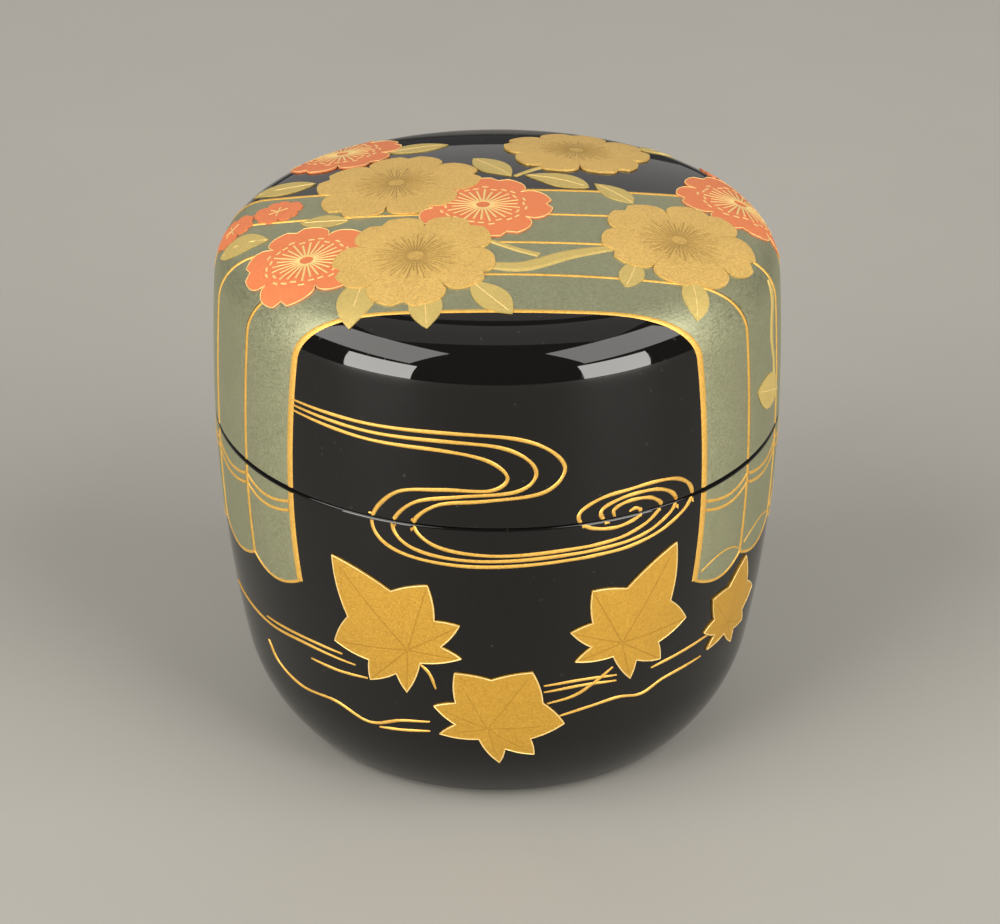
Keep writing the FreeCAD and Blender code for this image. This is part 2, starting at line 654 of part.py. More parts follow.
LID_NODES["lid_core"] = make_lid_core()
LID_NODES["lid_outer_coat"] = make_lid_outer_coat()
LID_NODES["lid_inner_coat"] = make_lid_inner_coat()
LID_NODES["lid_gold_blossoms"] = cut_from(blossom_layer, gold_flowers)
LID_NODES["lid_red_blossoms"] = cut_from(blossom_layer, blossom_prisms(RED_BLOSSOMS), over_red)
LID_NODES["lid_red_buds"] = cut_from(blossom_layer, blossom_prisms(RED_BUDS), over_red)
LID_NODES["lid_leaves"] = cut_from(leaf_layer, leaf_prisms(LID_LEAVES), over_leaves)
LID_NODES["lid_branches"] = cut_from(leaf_layer, branch_prisms(LID_BRANCHES), over_branches)
LID_NODES["lid_raft_culms"] = cut_from(
    lid_layer(CULM_RELIEF), [culm_prism(index) for index in CULMS], over_raft)
LID_NODES["lid_raft_lines"] = cut_from(line_layer, raft_lines, over_raft)
LID_NODES["lid_stream_lines"] = cut_from(line_layer, stream, [raft_border])

# Body decoration, from the leaves down to the raft and water under them
maples = MAPLE_LEAVES + tuple(opposite(MAPLE_LEAVES))
over_water = maple_prisms(maples, GROUND_LINE)
wall_line_layer = body_layer(LINE_RELIEF)
raft_reach = RADIUS + CUT_MARGIN
raft_floor = Part.makeCylinder(raft_reach, CULM_END_DROP, Vector(0, 0, SEAM_HEIGHT - CULM_END_DROP))
bands = []
culm_fields = []
culm_ends = []
for side in SIDES:
    for index in CULMS:
        culm_fields.append(culm_prism(index).common(culm_end_prism(index, side)))
        culm_ends.append(culm_band(index, side, CULM_END_DROP, CULM_END_SAG, RAFT_LINE_WIDTH))
        for row in range(2):
            bands.append(culm_band(index, side, NODE_DROP + row * NODE_SPACING, NODE_SAG, NODE_WIDTH))

BODY_NODES["body_core"] = make_body_core()
BODY_NODES["body_outer_coat"] = make_body_outer_coat()
BODY_NODES["body_inner_coat"] = make_body_inner_coat()
BODY_NODES["underside_coat"] = make_underside_coat()
BODY_NODES["maple_leaves"] = cut_from(body_layer(BLOSSOM_RELIEF), maple_prisms(maples))
BODY_NODES["body_raft_nodes"] = cut_from(wall_line_layer, bands, raft_lines)
BODY_NODES["body_raft_lines"] = cut_from(
    wall_line_layer, [each.common(raft_floor) for each in raft_lines] + culm_ends)
BODY_NODES["body_raft_culms"] = cut_from(body_layer(CULM_RELIEF), culm_fields, bands + culm_ends)
BODY_NODES["body_stream_lines"] = cut_from(wall_line_layer, stream, [raft_border])
BODY_NODES["body_water_lines"] = cut_from(
    wall_line_layer, both_faces([front_prism(points, WATER_WIDTH) for points in WATER_LINES]), over_water)

os.makedirs("parts", exist_ok=True)
for name, shape in {**LID_NODES, **BODY_NODES}.items():
    shape.exportStep("parts/" + name + ".step")
    print(name, len(shape.Solids), round(shape.Volume, 2), shape.isValid())
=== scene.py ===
"""Add-on that dresses a tea caddy: lacquer, raised decoration, floor, light and camera."""
import math
from itertools import groupby
from math import asin, atan2, ceil, copysign, cos, hypot, pi, radians, sin, sqrt

import bmesh
import bpy
from bpy.props import FloatProperty, FloatVectorProperty, IntProperty, PointerProperty
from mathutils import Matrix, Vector
from mathutils.geometry import interpolate_bezier


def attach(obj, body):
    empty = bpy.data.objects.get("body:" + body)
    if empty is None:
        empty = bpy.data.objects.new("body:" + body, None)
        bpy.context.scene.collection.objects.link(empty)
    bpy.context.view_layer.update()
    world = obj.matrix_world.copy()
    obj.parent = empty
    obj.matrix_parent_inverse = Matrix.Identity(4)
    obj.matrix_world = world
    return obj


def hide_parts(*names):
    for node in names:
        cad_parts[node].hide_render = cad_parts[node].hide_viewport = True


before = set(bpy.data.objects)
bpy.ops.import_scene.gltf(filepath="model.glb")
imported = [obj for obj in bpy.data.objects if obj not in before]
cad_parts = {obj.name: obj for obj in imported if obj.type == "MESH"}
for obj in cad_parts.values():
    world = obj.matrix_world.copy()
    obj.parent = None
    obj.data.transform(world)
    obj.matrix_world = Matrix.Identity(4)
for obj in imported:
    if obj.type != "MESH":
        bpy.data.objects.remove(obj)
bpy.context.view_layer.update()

bl_info = {
    "name": "Lacquered tea caddy",
    "version": (1, 0, 0),
    "blender": (4, 2, 0),
    "location": "View3D > Sidebar > Tea caddy",
    "description": "Dresses a tea caddy with lacquer and sprinkled decoration on a plain stage",
    "category": "Object",
}

MM = 0.001
UP = pi / 2
SIDES = (-1, 1)

# Bow of each raft line towards the back at the lid's edge, in millimetres
RAFT_BOWS = (3.7, 2.5, 4.4, 6.2, 7.0)

# Grid steps on the raft: along and across over the lid, then across and along down the body
CULM_STEPS = ((240, 14), (14, 10))
LINE_STEPS = ((160, 4), (4, 16))
BAND_STEPS = (18, 4)

# Widths of the raft's lines as shares of their plain width, and the margin of an end's inner arc
BORDER_SHARE, DIVIDER_SHARE, BAND_SHARE, ARC_SHARE = 1.25, 0.8, 1.1, 0.6
ARC_MARGIN = 0.08

# Share of its relief that a culm has at its edges, and of a raft line that lies on the lid's top
PILLOW_EDGE = 0.55
FLAT_SHARE = 0.6

# Stream and water lines on the front view, in millimetres: across from the axis, up from the seam
STREAM_LINES = (
    ((-23.2, 11.3), (-14.6, 11.2), (-5.0, 11.4), (1.6, 11.0), (5.6, 9.4), (7.3, 6.9), (5.1, 4.4),
     (-1.1, 3.5), (-6.4, 2.7), (-9.1, 0.1), (-6.8, -2.4), (-0.8, -3.3), (7.9, -3.0), (11.2, -2.85),
     (14.0, -2.45), (16.2, -1.6), (17.5, -0.6), (18.0, 0.3), (17.4, 1.1), (16.5, 1.6),
     (15.0, 1.8), (13.6, 1.6), (12.7, 1.0), (12.9, 0.0)),
    ((-23.2, 10.7), (-14.6, 10.3), (-5.1, 10.4), (0.4, 9.9), (3.5, 8.2), (4.1, 6.2), (2.0, 4.6),
     (-4.0, 3.9), (-9.0, 2.7), (-11.4, -0.4), (-9.3, -3.0), (-3.0, -4.0), (7.9, -3.65),
     (11.2, -3.5), (14.6, -3.2), (16.8, -2.6), (18.5, -1.6), (19.4, -0.7), (19.7, 0.3),
     (19.1, 1.4), (17.8, 2.2), (16.1, 2.5), (13.9, 2.4), (12.0, 1.8), (11.3, 1.1), (11.5, 0.2),
     (12.2, -0.4)),
    ((-23.2, 10.1), (-14.6, 9.4), (-6.1, 9.3), (-1.2, 8.4), (1.1, 6.4), (-0.6, 4.8), (-6.0, 4.6),
     (-11.0, 3.6), (-13.7, -0.3), (-11.4, -3.5), (-4.0, -4.7), (7.9, -4.35), (11.2, -4.2),
     (14.6, -3.95), (17.9, -3.1), (20.2, -1.8), (21.3, -0.6), (21.5, 0.6), (20.9, 1.9),
     (19.5, 2.9), (17.2, 3.3), (14.4, 3.2), (11.7, 2.9), (9.8, 2.1), (8.9, 1.2), (9.1, 0.1),
     (10.3, -0.7), (12.0, -1.1), (13.5, -1.1), (15.2, -0.6), (15.8, 0.1), (15.2, 0.7),
     (14.4, 0.5)),
)
WATER_LINES = (
    ((-30.6, -20.6), (-26.4, -20.9), (-22.0, -20.4), (-16.0, -20.6)),
    ((-26.6, -20.1), (-22.0, -19.6), (-17.5, -19.6)),
    ((-21.2, -22.2), (-18.0, -22.3), (-14.6, -22.0)),
    ((-26.6, -23.8), (-25.4, -26.2), (-22.6, -27.5), (-18.6, -27.2), (-14.6, -28.6),
     (-11.0, -27.2), (-7.6, -26.6)),
    ((-13.4, -28.9), (-11.0, -28.6), (-7.6, -28.0)),
    ((5.2, -21.0), (9.6, -20.8), (13.4, -21.1)),
    ((5.2, -21.9), (9.6, -21.6), (13.4, -21.9)),
    ((17.4, -21.6), (20.3, -21.2), (25.4, -20.6)),
    ((6.6, -25.7), (10.5, -24.9), (13.7, -24.5), (16.4, -25.0), (19.0, -23.9), (23.4, -23.4)),
    ((-8.8, -18.2), (-7.6, -19.6), (-6.9, -21.6)),
    ((13.0, -19.8), (11.2, -21.3), (8.7, -22.9), (5.6, -23.6)),
)

# How a drawn line swells along its points, and thins over the last of them to a share at its tips
BRUSH_SWELL, BRUSH_BEAT, BRUSH_TAPER, BRUSH_TIP = 0.1, 0.37, 8, 0.45

# Maple leaves: degrees from the front, up from the seam, direction of the long lobe, its length,
# and how full the other lobes are; then each lobe's angle and length and the notch after it, and
# how far the edges of lobes and of plain leaves bulge over their length
MAPLE_LEAVES = (
    (-18.0, -16.6, 131.0, 13.8, 0.86),
    (-2.0, -27.0, 58.0, 9.6, 1.14),
    (25.6, -16.6, 60.0, 13.2, 0.84),
    (57.0, -21.0, 72.0, 8.4, 1.0),
)
LOBES = ((0.0, 1.0, 0.66), (57.0, 0.8, 0.47), (97.0, 0.62, 0.34), (135.0, 0.52, 0.18))
LOBE_BULGE, LEAF_BULGE = 0.05, 0.25

# Lid flowers on the unrolled top: right of the axis, behind the axis, radius, turn
GOLD_BLOSSOMS = (
    (-11.6, 4.0, 9.6, 10.0), (-9.0, -15.0, 9.3, 46.0), (9.4, 16.0, 8.8, 20.0),
    (20.4, -9.0, 9.2, 64.0),
)
RED_BLOSSOMS = (
    (-21.2, -13.2, 7.6, 30.0), (-1.6, -3.6, 7.8, 4.0), (28.4, 5.0, 8.0, 52.0),
    (-18.6, 18.6, 7.2, 15.0),
)
RED_BUDS = ((-25.2, 0.6, 2.9, 20.0), (-30.8, -0.4, 2.9, 40.0), (27.0, 17.0, 2.7, 75.0))

# Petals: how many, the shares of half a petal's width at which its edge is drawn, the shape of
# that edge, the nick at its tip, and the reach of the flat map over the radius
PETALS = 5
PETAL_STEPS = (0.2, 0.3, 0.42, 0.58, 0.72, 0.84, 0.92, 0.97)
PETAL_ROOT, PETAL_SPREAD, PETAL_POWER = 0.72, 0.025, 2.6
NICK_DEPTH, NICK_WIDTH, MAP_REACH = 0.09, 0.2, 1.05

# Stamens: how many, then where they start and end as shares of the flower's radius
GOLD_THREADS, RED_STAMENS, BUD_STAMENS = 44, 26, 5
HEART, GOLD_REACH, GOLD_STEP = 0.1, 0.34, 0.08
RED_REACH, RED_SPREAD, ANTHER_GAP = 0.5, 0.05, 0.09
BUD_REACH, BUD_DEGREES = 0.4, 60.0

# Widths of fine trim in metres, then shares of the plain relief, edge highlight and underside
THREAD, RED_STAMEN, BUD_STAMEN, RIB = 0.00012, 0.00024, 0.00018, 0.00014
ANTHER, ANTHER_SPAN = 0.00026, 0.0007
# The edge highlight is a pale band painted along a red blossom's raised edge
THREAD_RELIEF, RED_EDGE_HIGHLIGHT, TRIM_SINK = 0.6, 0.8, 0.25

# Lid leaves: middle on the unrolled top, direction, length; then the places along a leaf's rib
LID_LEAVES = (
    (-15.4, -22.4, -102.0, 8.4), (-7.8, -24.6, -87.0, 7.4), (-0.6, -23.4, -53.0, 7.4),
    (14.8, -17.6, -104.0, 5.6), (21.9, -19.9, -81.0, 6.4), (13.6, 1.6, 132.0, 6.4),
    (-0.6, 8.6, 126.0, 7.6), (7.4, 4.4, -24.0, 7.8), (-9.6, 17.6, 14.0, 7.4),
    (-25.0, 8.0, 176.0, 7.6), (-29.4, -5.4, 162.0, 7.4), (-19.6, -4.4, 168.0, 5.8),
    (43.0, -16.4, -132.0, 8.4), (20.0, 22.6, 40.0, 7.4),
)
RIB_SHARES = (-0.46, -0.2, 0.1, 0.4)

# Lid branches: points on the unrolled top, each with the width there; then how full they are
LID_BRANCHES = (
    ((13.4, -12.2, 1.3), (8.0, -14.6, 2.2), (2.8, -17.4, 2.3), (-2.4, -17.0, 1.4)),
    ((4.6, -15.0, 1.2), (1.6, -13.6, 1.0), (-3.0, -10.6, 0.5)),
    ((2.0, 5.2, 0.5), (5.0, 8.4, 0.7), (8.4, 11.0, 0.8)),
    ((31.9, -9.6, 1.1), (34.0, -11.0, 1.5), (37.5, -13.0, 1.5), (41.0, -13.0, 1.0),
     (43.5, -13.6, 0.9)),
)
BRANCH_FULLNESS = 2.0

# Steps on each curved edge or stretch of a path, and across a ribbon
LOBE_STEPS, LEAF_STEPS, BRUSH_STEPS, BRANCH_STEPS, RIBBON_STEPS = 7, 14, 12, 10, 4

# Steps along the coats' sections and distances at which points merge, in metres; sharp corners
FINE, PLAIN, EDGE_STEP, COLLAR_STEP = 0.0005, 0.002, 0.00005, 0.0001
WELD, CUT_WELD = 0.000001, 0.000002
SHARP = radians(50)

# Textures: repeats per metre, and heights of their bumps in metres
WAVE, HAZE, DUST = 90.0, 700.0, 3500.0
GRAIN, FINE_GRAIN, WEAR = 6500.0, 3200.0, 260.0
WOOD_RINGS, CLOUDS = 220.0, 30.0
WAVE_HEIGHT, GRAIN_HEIGHT = 0.00004, 0.00003
DUST_COLOUR = (0.035, 0.032, 0.028)

# Sockets of a Mix node that mixes colours
MIX_SHARE, MIX_FIRST, MIX_SECOND, MIX_RESULT = 0, 6, 7, 2

# Stage: lamps with place, aim, width, depth and power, then floor and camera
LAMPS = (
    ("ceiling", (0.0, 0.1, 1.3), (0.0, 0.1, 0.0), 1.6, 1.0, 3.2),
    ("back_panel", (0.0, 1.4, 0.85), (0.0, 0.0, 0.1), 3.0, 1.5, 6.5),
    ("left_panel", (-0.99, -0.62, 1.09), (0.0, 0.0, 0.06), 1.2, 0.82, 16.0),
    ("right_panel", (0.99, -0.62, 1.09), (0.0, 0.0, 0.06), 1.2, 0.82, 15.4),
    ("left_softbox", (-0.75, -0.72, 0.24), (0.0, 0.0, 0.04), 0.52, 0.46, 9.4),
    ("right_softbox", (0.75, -0.72, 0.24), (0.0, 0.0, 0.04), 0.52, 0.46, 9.2),
)
FLOOR_REACH, FLOOR_SHADE = 3.0, 0.94
CAMERA_PLACE, CAMERA_AIM = (0.0, -0.3299, 0.2054), (0.0, 0.0, 0.03087)

def length(description, default):
    return FloatProperty(description=description, default=default, unit="LENGTH", precision=5)

def colour(description, default):
    return FloatVectorProperty(description=description, default=default, subtype="COLOR",
                               min=0, max=1)

class CaddyShape(bpy.types.PropertyGroup):
    """Outside and inside sizes of the turned caddy."""

    diameter: length("Widest size, at the seam", 0.066)
    height: length("Height to the top of the lid", 0.0655)
    seam: length("Height of the seam", 0.040)
    crown: length("Radius of the lid's dome", 0.116)
    shoulder: length("Radius of the lid's shoulder", 0.0066)
    lid_side: length("Radius of the lid's side", 0.245)
    body_side: length("Radius of the body's side", 0.160)
    belly: length("Radius of the body's lower curve", 0.020)
    foot_edge: length("Radius between the belly and the foot", 0.004)
    foot: length("Radius of the flat foot", 0.0225)
    seam_edge: length("Rounding of both edges at the seam", 0.00035)
    coat: length("Thickness of the outer lacquer", 0.0005)
    inner_coat: length("Thickness of the inner lacquer", 0.0003)
    lid_wall: length("Thickness of the lid's wall at its rim", 0.0029)
    crown_wall: length("Thickness of the lid's top", 0.0032)
    lid_corner: length("Radius inside the lid's corner", 0.004)
    clearance: length("Gap between the lid and the collar", 0.00008)
    collar_height: length("Height of the collar above the seam", 0.008)
    collar_wall: length("Thickness of the collar", 0.002)
    collar_edge: length("Rounding of the collar's top edges", 0.0006)
    cavity_floor: length("Height of the floor inside", 0.0045)
    cavity_corner: length("Radius round the floor inside", 0.0105)
    turns: IntProperty(description="Steps of each turned surface", default=256, min=32, max=512)

class CaddyRelief(bpy.types.PropertyGroup):
    """Heights and widths of the raised decoration."""

    raft_front: length("Front edge of the raft behind the axis", -0.0255)
    pitch: length("Spacing of the raft's culms", 0.0066)
    culm: length("Height of the culms' sprinkled ground", 0.00005)
    line: length("Height of the raised lines", 0.00012)
    leaf: length("Height of the lid's leaves and branches", 0.00015)
    red: length("Height of red blossoms, buds and maple leaves", 0.0002)
    gold: length("Height of the gold blossoms", 0.00025)
    # stamen and outline also size the pale edge band, a painted highlight of a raised edge
    stamen: length("Height of stamens, ribs and edges over their motif", 0.00004)
    outline: length("Width of the fine line along a motif's edge", 0.00016)
    sink: length("Depth of the decoration's hidden underside", 0.0004)
    cell: length("Spacing of the cuts that let a motif follow the surface", 0.0011)
    raft_line: length("Width of the raft's lines", 0.00046)
    stream_line: length("Width of the stream's lines", 0.00042)
    water_line: length("Width of the water's lines", 0.0004)
    raft_turn: length("Drop from the top to where the raft turns down", 0.0032)
    culm_end: length("Drop of the culms' ends below the seam", 0.0116)
    end_sag: length("Sag of the culms' rounded ends", 0.0015)
    end_gap: length("Rise of an end's inner arc over its outer one", 0.0003)
    node_drop: length("Drop of the first node band below the seam", 0.0015)
    node_sag: length("Sag of each node band", 0.0010)
    node_gap: length("Spacing of the paired node bands", 0.00115)

class CaddyColours(bpy.types.PropertyGroup):
    """Colours of lacquer, metal powders and stage."""

    black: colour("Outer lacquer", (0.0035, 0.0032, 0.003))
    inner: colour("Inner lacquer", (0.006, 0.0045, 0.004))
    gold: colour("Gold powder of the drawn lines", (0.80, 0.48, 0.10))
    gold_deep: colour("In its hollows", (0.54, 0.29, 0.045))
    maple: colour("Burnished gold powder of the maple leaves", (0.66, 0.38, 0.052))
    maple_deep: colour("In its hollows", (0.46, 0.24, 0.024))
    petal: colour("Paler gold powder of the blossoms", (0.83, 0.55, 0.162))
    petal_deep: colour("In its hollows", (0.44, 0.265, 0.06))
    # Along maple and red blossom edges this pale gold is a painted highlight of the raised edge
    stamen: colour("Pale gold of stamens, ribs and edges", (0.92, 0.70, 0.30))
    stamen_deep: colour("In its hollows", (0.74, 0.50, 0.16))
    thread: colour("Dark gold of a gold blossom's threads", (0.42, 0.27, 0.065))
    thread_deep: colour("In its hollows", (0.28, 0.165, 0.035))
    olive: colour("Greenish gold of leaves and branches", (0.62, 0.47, 0.15))
    olive_deep: colour("In its hollows", (0.45, 0.33, 0.095))
    silver: colour("Dulled silver powder of the raft", (0.45, 0.46, 0.295))
    silver_deep: colour("In its hollows", (0.30, 0.305, 0.178))
    red: colour("Vermilion powder", (0.72, 0.215, 0.072))
    red_deep: colour("In its hollows", (0.58, 0.145, 0.046))
    wood: colour("Turned wood of the cores", (0.45, 0.29, 0.15))
    wood_deep: colour("Late wood of the rings", (0.26, 0.14, 0.06))
    floor: colour("Pale floor", (0.35, 0.34, 0.31))
    light: colour("Lamps", (1.0, 0.97, 0.93))

# Shader nodes
class Wire:
    """A shader socket that takes part in sums and makes any other node."""

    def __init__(self, tree, socket=None):
        self.tree = tree
        self.socket = socket

    def node(self, kind, inputs=(), output=0, **settings):
        """Make a node from its input values or wires and its settings."""
        made = self.tree.nodes.new(kind)
        for key, value in settings.items():
            setattr(made, key, value)
        for key, value in dict(inputs).items():
            plug(self.tree, made.inputs[key], value)
        return Wire(self.tree, made.outputs[output])

    def math(self, operation, *values):
        return self.node("ShaderNodeMath", enumerate((self, *values)), operation=operation)

    def mix(self, first, second):
        """A colour between two, with this wire as the share of the second."""
        inputs = {MIX_SHARE: self, MIX_FIRST: first, MIX_SECOND: second}
        return self.node("ShaderNodeMix", inputs, output=MIX_RESULT, data_type="RGBA")

    def band(self, low, high):
        """Step smoothly from 0 at one value to 1 at another."""
        inputs = {"Value": self, "From Min": low, "From Max": high}
        return self.node("ShaderNodeMapRange", inputs, interpolation_type="SMOOTHSTEP")

    def __add__(self, other):
        return self.math("ADD", other)

    __radd__ = __add__

    def __sub__(self, other):
        return self.math("SUBTRACT", other)

    def __rsub__(self, other):
        return (self * -1.0) + other

    def __mul__(self, other):
        return self.math("MULTIPLY", other)

def plug(tree, socket, value):
    """Link a wire to a socket, or set its value."""
    if isinstance(value, Wire):
        tree.links.new(value.socket, socket)
    elif socket.type == "RGBA":
        socket.default_value = (*value[:3], 1.0)
    else:
        socket.default_value = value

def shader(name, build):
    """A material whose Principled sockets come from build, called with a bare wire."""
    made = bpy.data.materials.new(name)
    made.use_nodes = True
    tree = made.node_tree
    surface = next(node for node in tree.nodes if node.type == "BSDF_PRINCIPLED")
    for key, value in build(Wire(tree)).items():
        plug(tree, surface.inputs[key], value)
    return made

def object_place(wire):
    return wire.node("ShaderNodeTexCoord", output="Object")

def noise(wire, place, scale, detail=2.0):
    inputs = {"Vector": place, "Scale": scale, "Detail": detail}
    return wire.node("ShaderNodeTexNoise", inputs)

def cells(wire, place, scale):
    """A chance value for each cell of a pattern."""
    inputs = {"Vector": place, "Scale": scale}
    tint = wire.node("ShaderNodeTexVoronoi", inputs, output="Color")
    return wire.node("ShaderNodeSeparateColor", {0: tint})

def bump(wire, height, distance, strength):
    inputs = {"Height": height, "Distance": distance, "Strength": strength}
    return wire.node("ShaderNodeBump", inputs)

def lacquer(name, base, rough):
    """Polished lacquer: a little uneven, with a trace of dust."""
    def build(wire):
        place = object_place(wire)
        wave = noise(wire, place, WAVE)
        haze = noise(wire, place, HAZE, 3.0)
        speck = cells(wire, place, DUST).band(0.996, 1.0)
        return {
            "Base Color": (speck * 0.5).mix(base, DUST_COLOUR),
            "Roughness": rough + haze.band(0.45, 0.75) * 0.035 + speck * 0.12,
            "IOR": 1.45,
            "Normal": bump(wire, wave, WAVE_HEIGHT, 0.25),
        }
    return shader(name, build)

def powder(name, colours, key, metallic, rough, marks=None):
    """Sprinkled metal powder: grains, patches of wear, and marks on the motif's own flat map."""
    def build(wire):
        place = object_place(wire)
        grain = cells(wire, place, GRAIN)
        fine = noise(wire, place, FINE_GRAIN)
        patch = noise(wire, place, WEAR, 3.0)
        shade = grain * 0.45 + fine * 0.45 + patch.band(0.3, 0.7) * 0.1
        height = grain * 0.6 + fine * 0.4
        if marks:
            cut = marks(wire)
            shade = shade - cut * 0.6
            height = height - cut * 0.5
        return {
            "Base Color": shade.mix(getattr(colours, key + "_deep"), getattr(colours, key)),
            "Metallic": metallic,
            "Roughness": rough + grain * 0.16,
            "Normal": bump(wire, height, GRAIN_HEIGHT, 0.55),
        }
    return shader(name, build)

def motif_map(wire):
    """Across and up on a motif's own flat map."""
    flat = wire.node("ShaderNodeUVMap", uv_map="motif")
    across = flat.node("ShaderNodeSeparateXYZ", {0: flat})
    return across, Wire(wire.tree, across.socket.node.outputs["Y"])

def blossom_marks(wire):
    """Darker heart with fine spokes, and the meeting edges of the petals."""
    across, up = motif_map(wire)
    distance = (across * across + up * up).math("SQRT")
    angle = up.math("ARCTAN2", across)
    heart = 1.0 - distance.band(0.1, 0.6)
    spokes = (angle * 24.0).math("SINE").band(-0.3, 0.7) * (1.0 - distance.band(0.4, 0.56))
    half = pi / PETALS
    fold = (angle + half).math("PINGPONG", half)
    gap = (1.0 - (fold * distance).band(0.004, 0.014)) * distance.band(0.45, 0.6)
    return (heart * 0.24 + spokes * 0.28 + gap * 0.4).math("MINIMUM", 1.0)

def maple_marks(wire):
    """Veins from the stem to the tip of each lobe."""
    across, up = motif_map(wire)
    up = up.math("ABSOLUTE")
    cut = None
    for degrees, reach, _ in LOBES:
        turn = radians(degrees)
        off = (across * sin(turn) - up * cos(turn)).math("ABSOLUTE")
        along = across * cos(turn) + up * sin(turn)
        tip = 1.0 - along.band(reach - 0.3, reach)
        vein = (1.0 - off.band(0.003, 0.011)) * along.band(-0.01, 0.03) * tip
        cut = vein if cut is None else cut.math("MAXIMUM", vein)
    return cut

def wood_shader(name, light, deep):
    def build(wire):
        place = object_place(wire)
        inputs = {"Vector": place, "Scale": WOOD_RINGS, "Distortion": 1.2, "Detail": 3.0}
        rings = wire.node("ShaderNodeTexWave", inputs, wave_type="RINGS", rings_direction="Z")
        return {"Base Color": rings.mix(light, deep), "Roughness": 0.55 + rings * 0.2}
    return shader(name, build)

# Turned surface
def circles_meet(first, first_radius, second, second_radius):
    """Where two circles cross on the left of the line between their centres."""
    across, up = second[0] - first[0], second[1] - first[1]
    apart = hypot(across, up)
    along = (apart ** 2 + first_radius ** 2 - second_radius ** 2) / (2 * apart)
    off = sqrt(first_radius ** 2 - along ** 2)
    return (first[0] + (along * across - off * up) / apart,
            first[1] + (along * up + off * across) / apart)

def direction(start, end):
    return atan2(end[1] - start[1], end[0] - start[0])

def on_circle(centre, radius, angle):
    return (centre[0] + radius * cos(angle), centre[1] + radius * sin(angle))

def sampled(centre, radius, first, last, step):
    """Points along an arc of a section."""
    count = max(3, ceil(abs(first - last) * radius / step))
    turn = last - first
    return [on_circle(centre, radius, first + turn * i / count) for i in range(count + 1)]

def section_of(arcs, offset, step):
    """Points along a row of arcs, moved out by an offset."""
    return [point for centre, size, first, last in arcs
            for point in sampled(centre, size + offset, first, last, step)]

def cut_short(arcs, index, height, offset):
    """The arcs with one ended, or started, where its offset copy reaches a height."""
    changed = list(arcs)
    centre, size, first, last = changed[index]
    stop = asin((height - centre[1]) / (size + offset))
    changed[index] = (centre, size, first, stop) if index else (centre, size, stop, last)
    return changed

class Outside:
    """The caddy's outside: tangent arcs from the lid's top to the foot, and places on them."""

    def __init__(self, shape):
        radius = shape.diameter / 2
        crown = (0.0, shape.height - shape.crown)
        lid_side = (radius - shape.lid_side, shape.seam)
        body_side = (radius - shape.body_side, shape.seam)
        foot = (shape.foot, shape.foot_edge)
        shoulder = circles_meet(lid_side, shape.lid_side - shape.shoulder,
                                crown, shape.crown - shape.shoulder)
        belly = circles_meet(body_side, shape.body_side - shape.belly,
                             foot, shape.belly - shape.foot_edge)
        crown_end = direction(crown, shoulder)
        shoulder_end = direction(lid_side, shoulder)
        side_end = direction(body_side, belly)
        belly_end = direction(belly, foot)
        self.crown = crown
        self.seam = shape.seam
        self.lid = [(crown, shape.crown, UP, crown_end),
                    (shoulder, shape.shoulder, crown_end, shoulder_end),
                    (lid_side, shape.lid_side, shoulder_end, 0.0)]
        self.body = [(body_side, shape.body_side, 0.0, side_end),
                     (belly, shape.belly, side_end, belly_end),
                     (foot, shape.foot_edge, belly_end, -UP)]
        self.rim = sum(size * (first - last) for _, size, first, last in self.lid)

    def at(self, run):
        """Radius, height and the normal's angle at a run down the surface from the top."""
        for centre, size, first, last in self.lid + self.body:
            angle = max(first - run / size, last)
            if angle > last:
                break
            run -= size * (first - last)
        return (*on_circle(centre, size, angle), angle)

    def run_at(self, height):
        run = 0.0
        for centre, size, first, last in self.lid + self.body:
            if height >= centre[1] + size * sin(last):
                return run + size * (first - asin(min(1.0, (height - centre[1]) / size)))
            run += size * (first - last)
        return run

    def place(self, azimuth, run, lift):
        radius, height, angle = self.at(run)
        radius += lift * cos(angle)
        height += lift * sin(angle)
        return Vector((radius * sin(azimuth), -radius * cos(azimuth), height))

def add_object(name, data):
    made = bpy.data.objects.new(name, data)
    bpy.context.scene.collection.objects.link(made)
    return made

def add_piece(name, bm, material, body, slot, nodes, sink=0.0):
    """Make an object from a bmesh that rides on a body and takes the place of its nodes."""
    mesh = bpy.data.meshes.new(name)
    bm.to_mesh(mesh)
    bm.free()
    mesh.materials.append(material)
    piece = add_object(name, mesh)
    if sink:
        shell = piece.modifiers.new("Underside", "SOLIDIFY")
        shell.thickness = sink
        shell.offset = -1.0
    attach(piece, body)
    if nodes:
        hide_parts(*nodes)

def spun(section, turns):
    """Turn a section about the axis, with its real corners kept sharp."""
    bm = bmesh.new()
    verts = [bm.verts.new((0.0, radius, height)) for radius, height in section]
    edges = [bm.edges.new(pair) for pair in zip(verts, verts[1:])]
    bmesh.ops.spin(bm, geom=verts + edges, cent=(0, 0, 0), axis=(0, 0, 1), angle=2 * pi,
                   steps=turns, use_merge=True)
    bmesh.ops.remove_doubles(bm, verts=bm.verts[:], dist=WELD)
    bmesh.ops.recalc_face_normals(bm, faces=bm.faces[:])
    for face in bm.faces:
        face.smooth = True
    for edge in bm.edges:
        edge.smooth = edge.calc_face_angle(0.0) < SHARP
    return bm

# Seats: each turns a flat place and a lift into a place on the caddy
def top_seat(outside, across, behind):
    """Seat a motif about a point of the unrolled top, with its axes along the plan's."""
    def seat(x, y, lift):
        run = hypot(across + x, behind + y)
        return outside.place(atan2(across + x, -behind - y), run, lift)
    return seat

def wall_seat(outside, azimuth, run):
    """Seat a motif about a run down from the top, with its up towards the top."""
    def seat(x, y, lift):
        return outside.place(azimuth + x / outside.at(run - y)[0], run - y, lift)
    return seat

def front_seat(outside, turn):
    """Seat a line drawn on the front view, turned about the axis."""
    def seat(x, y, lift):
        run = outside.run_at(outside.seam + y)
        return outside.place(turn + asin(x / outside.at(run)[0]), run, lift)
    return seat

def raised(seat, base):
    return lambda x, y, lift: seat(x, y, base + lift)

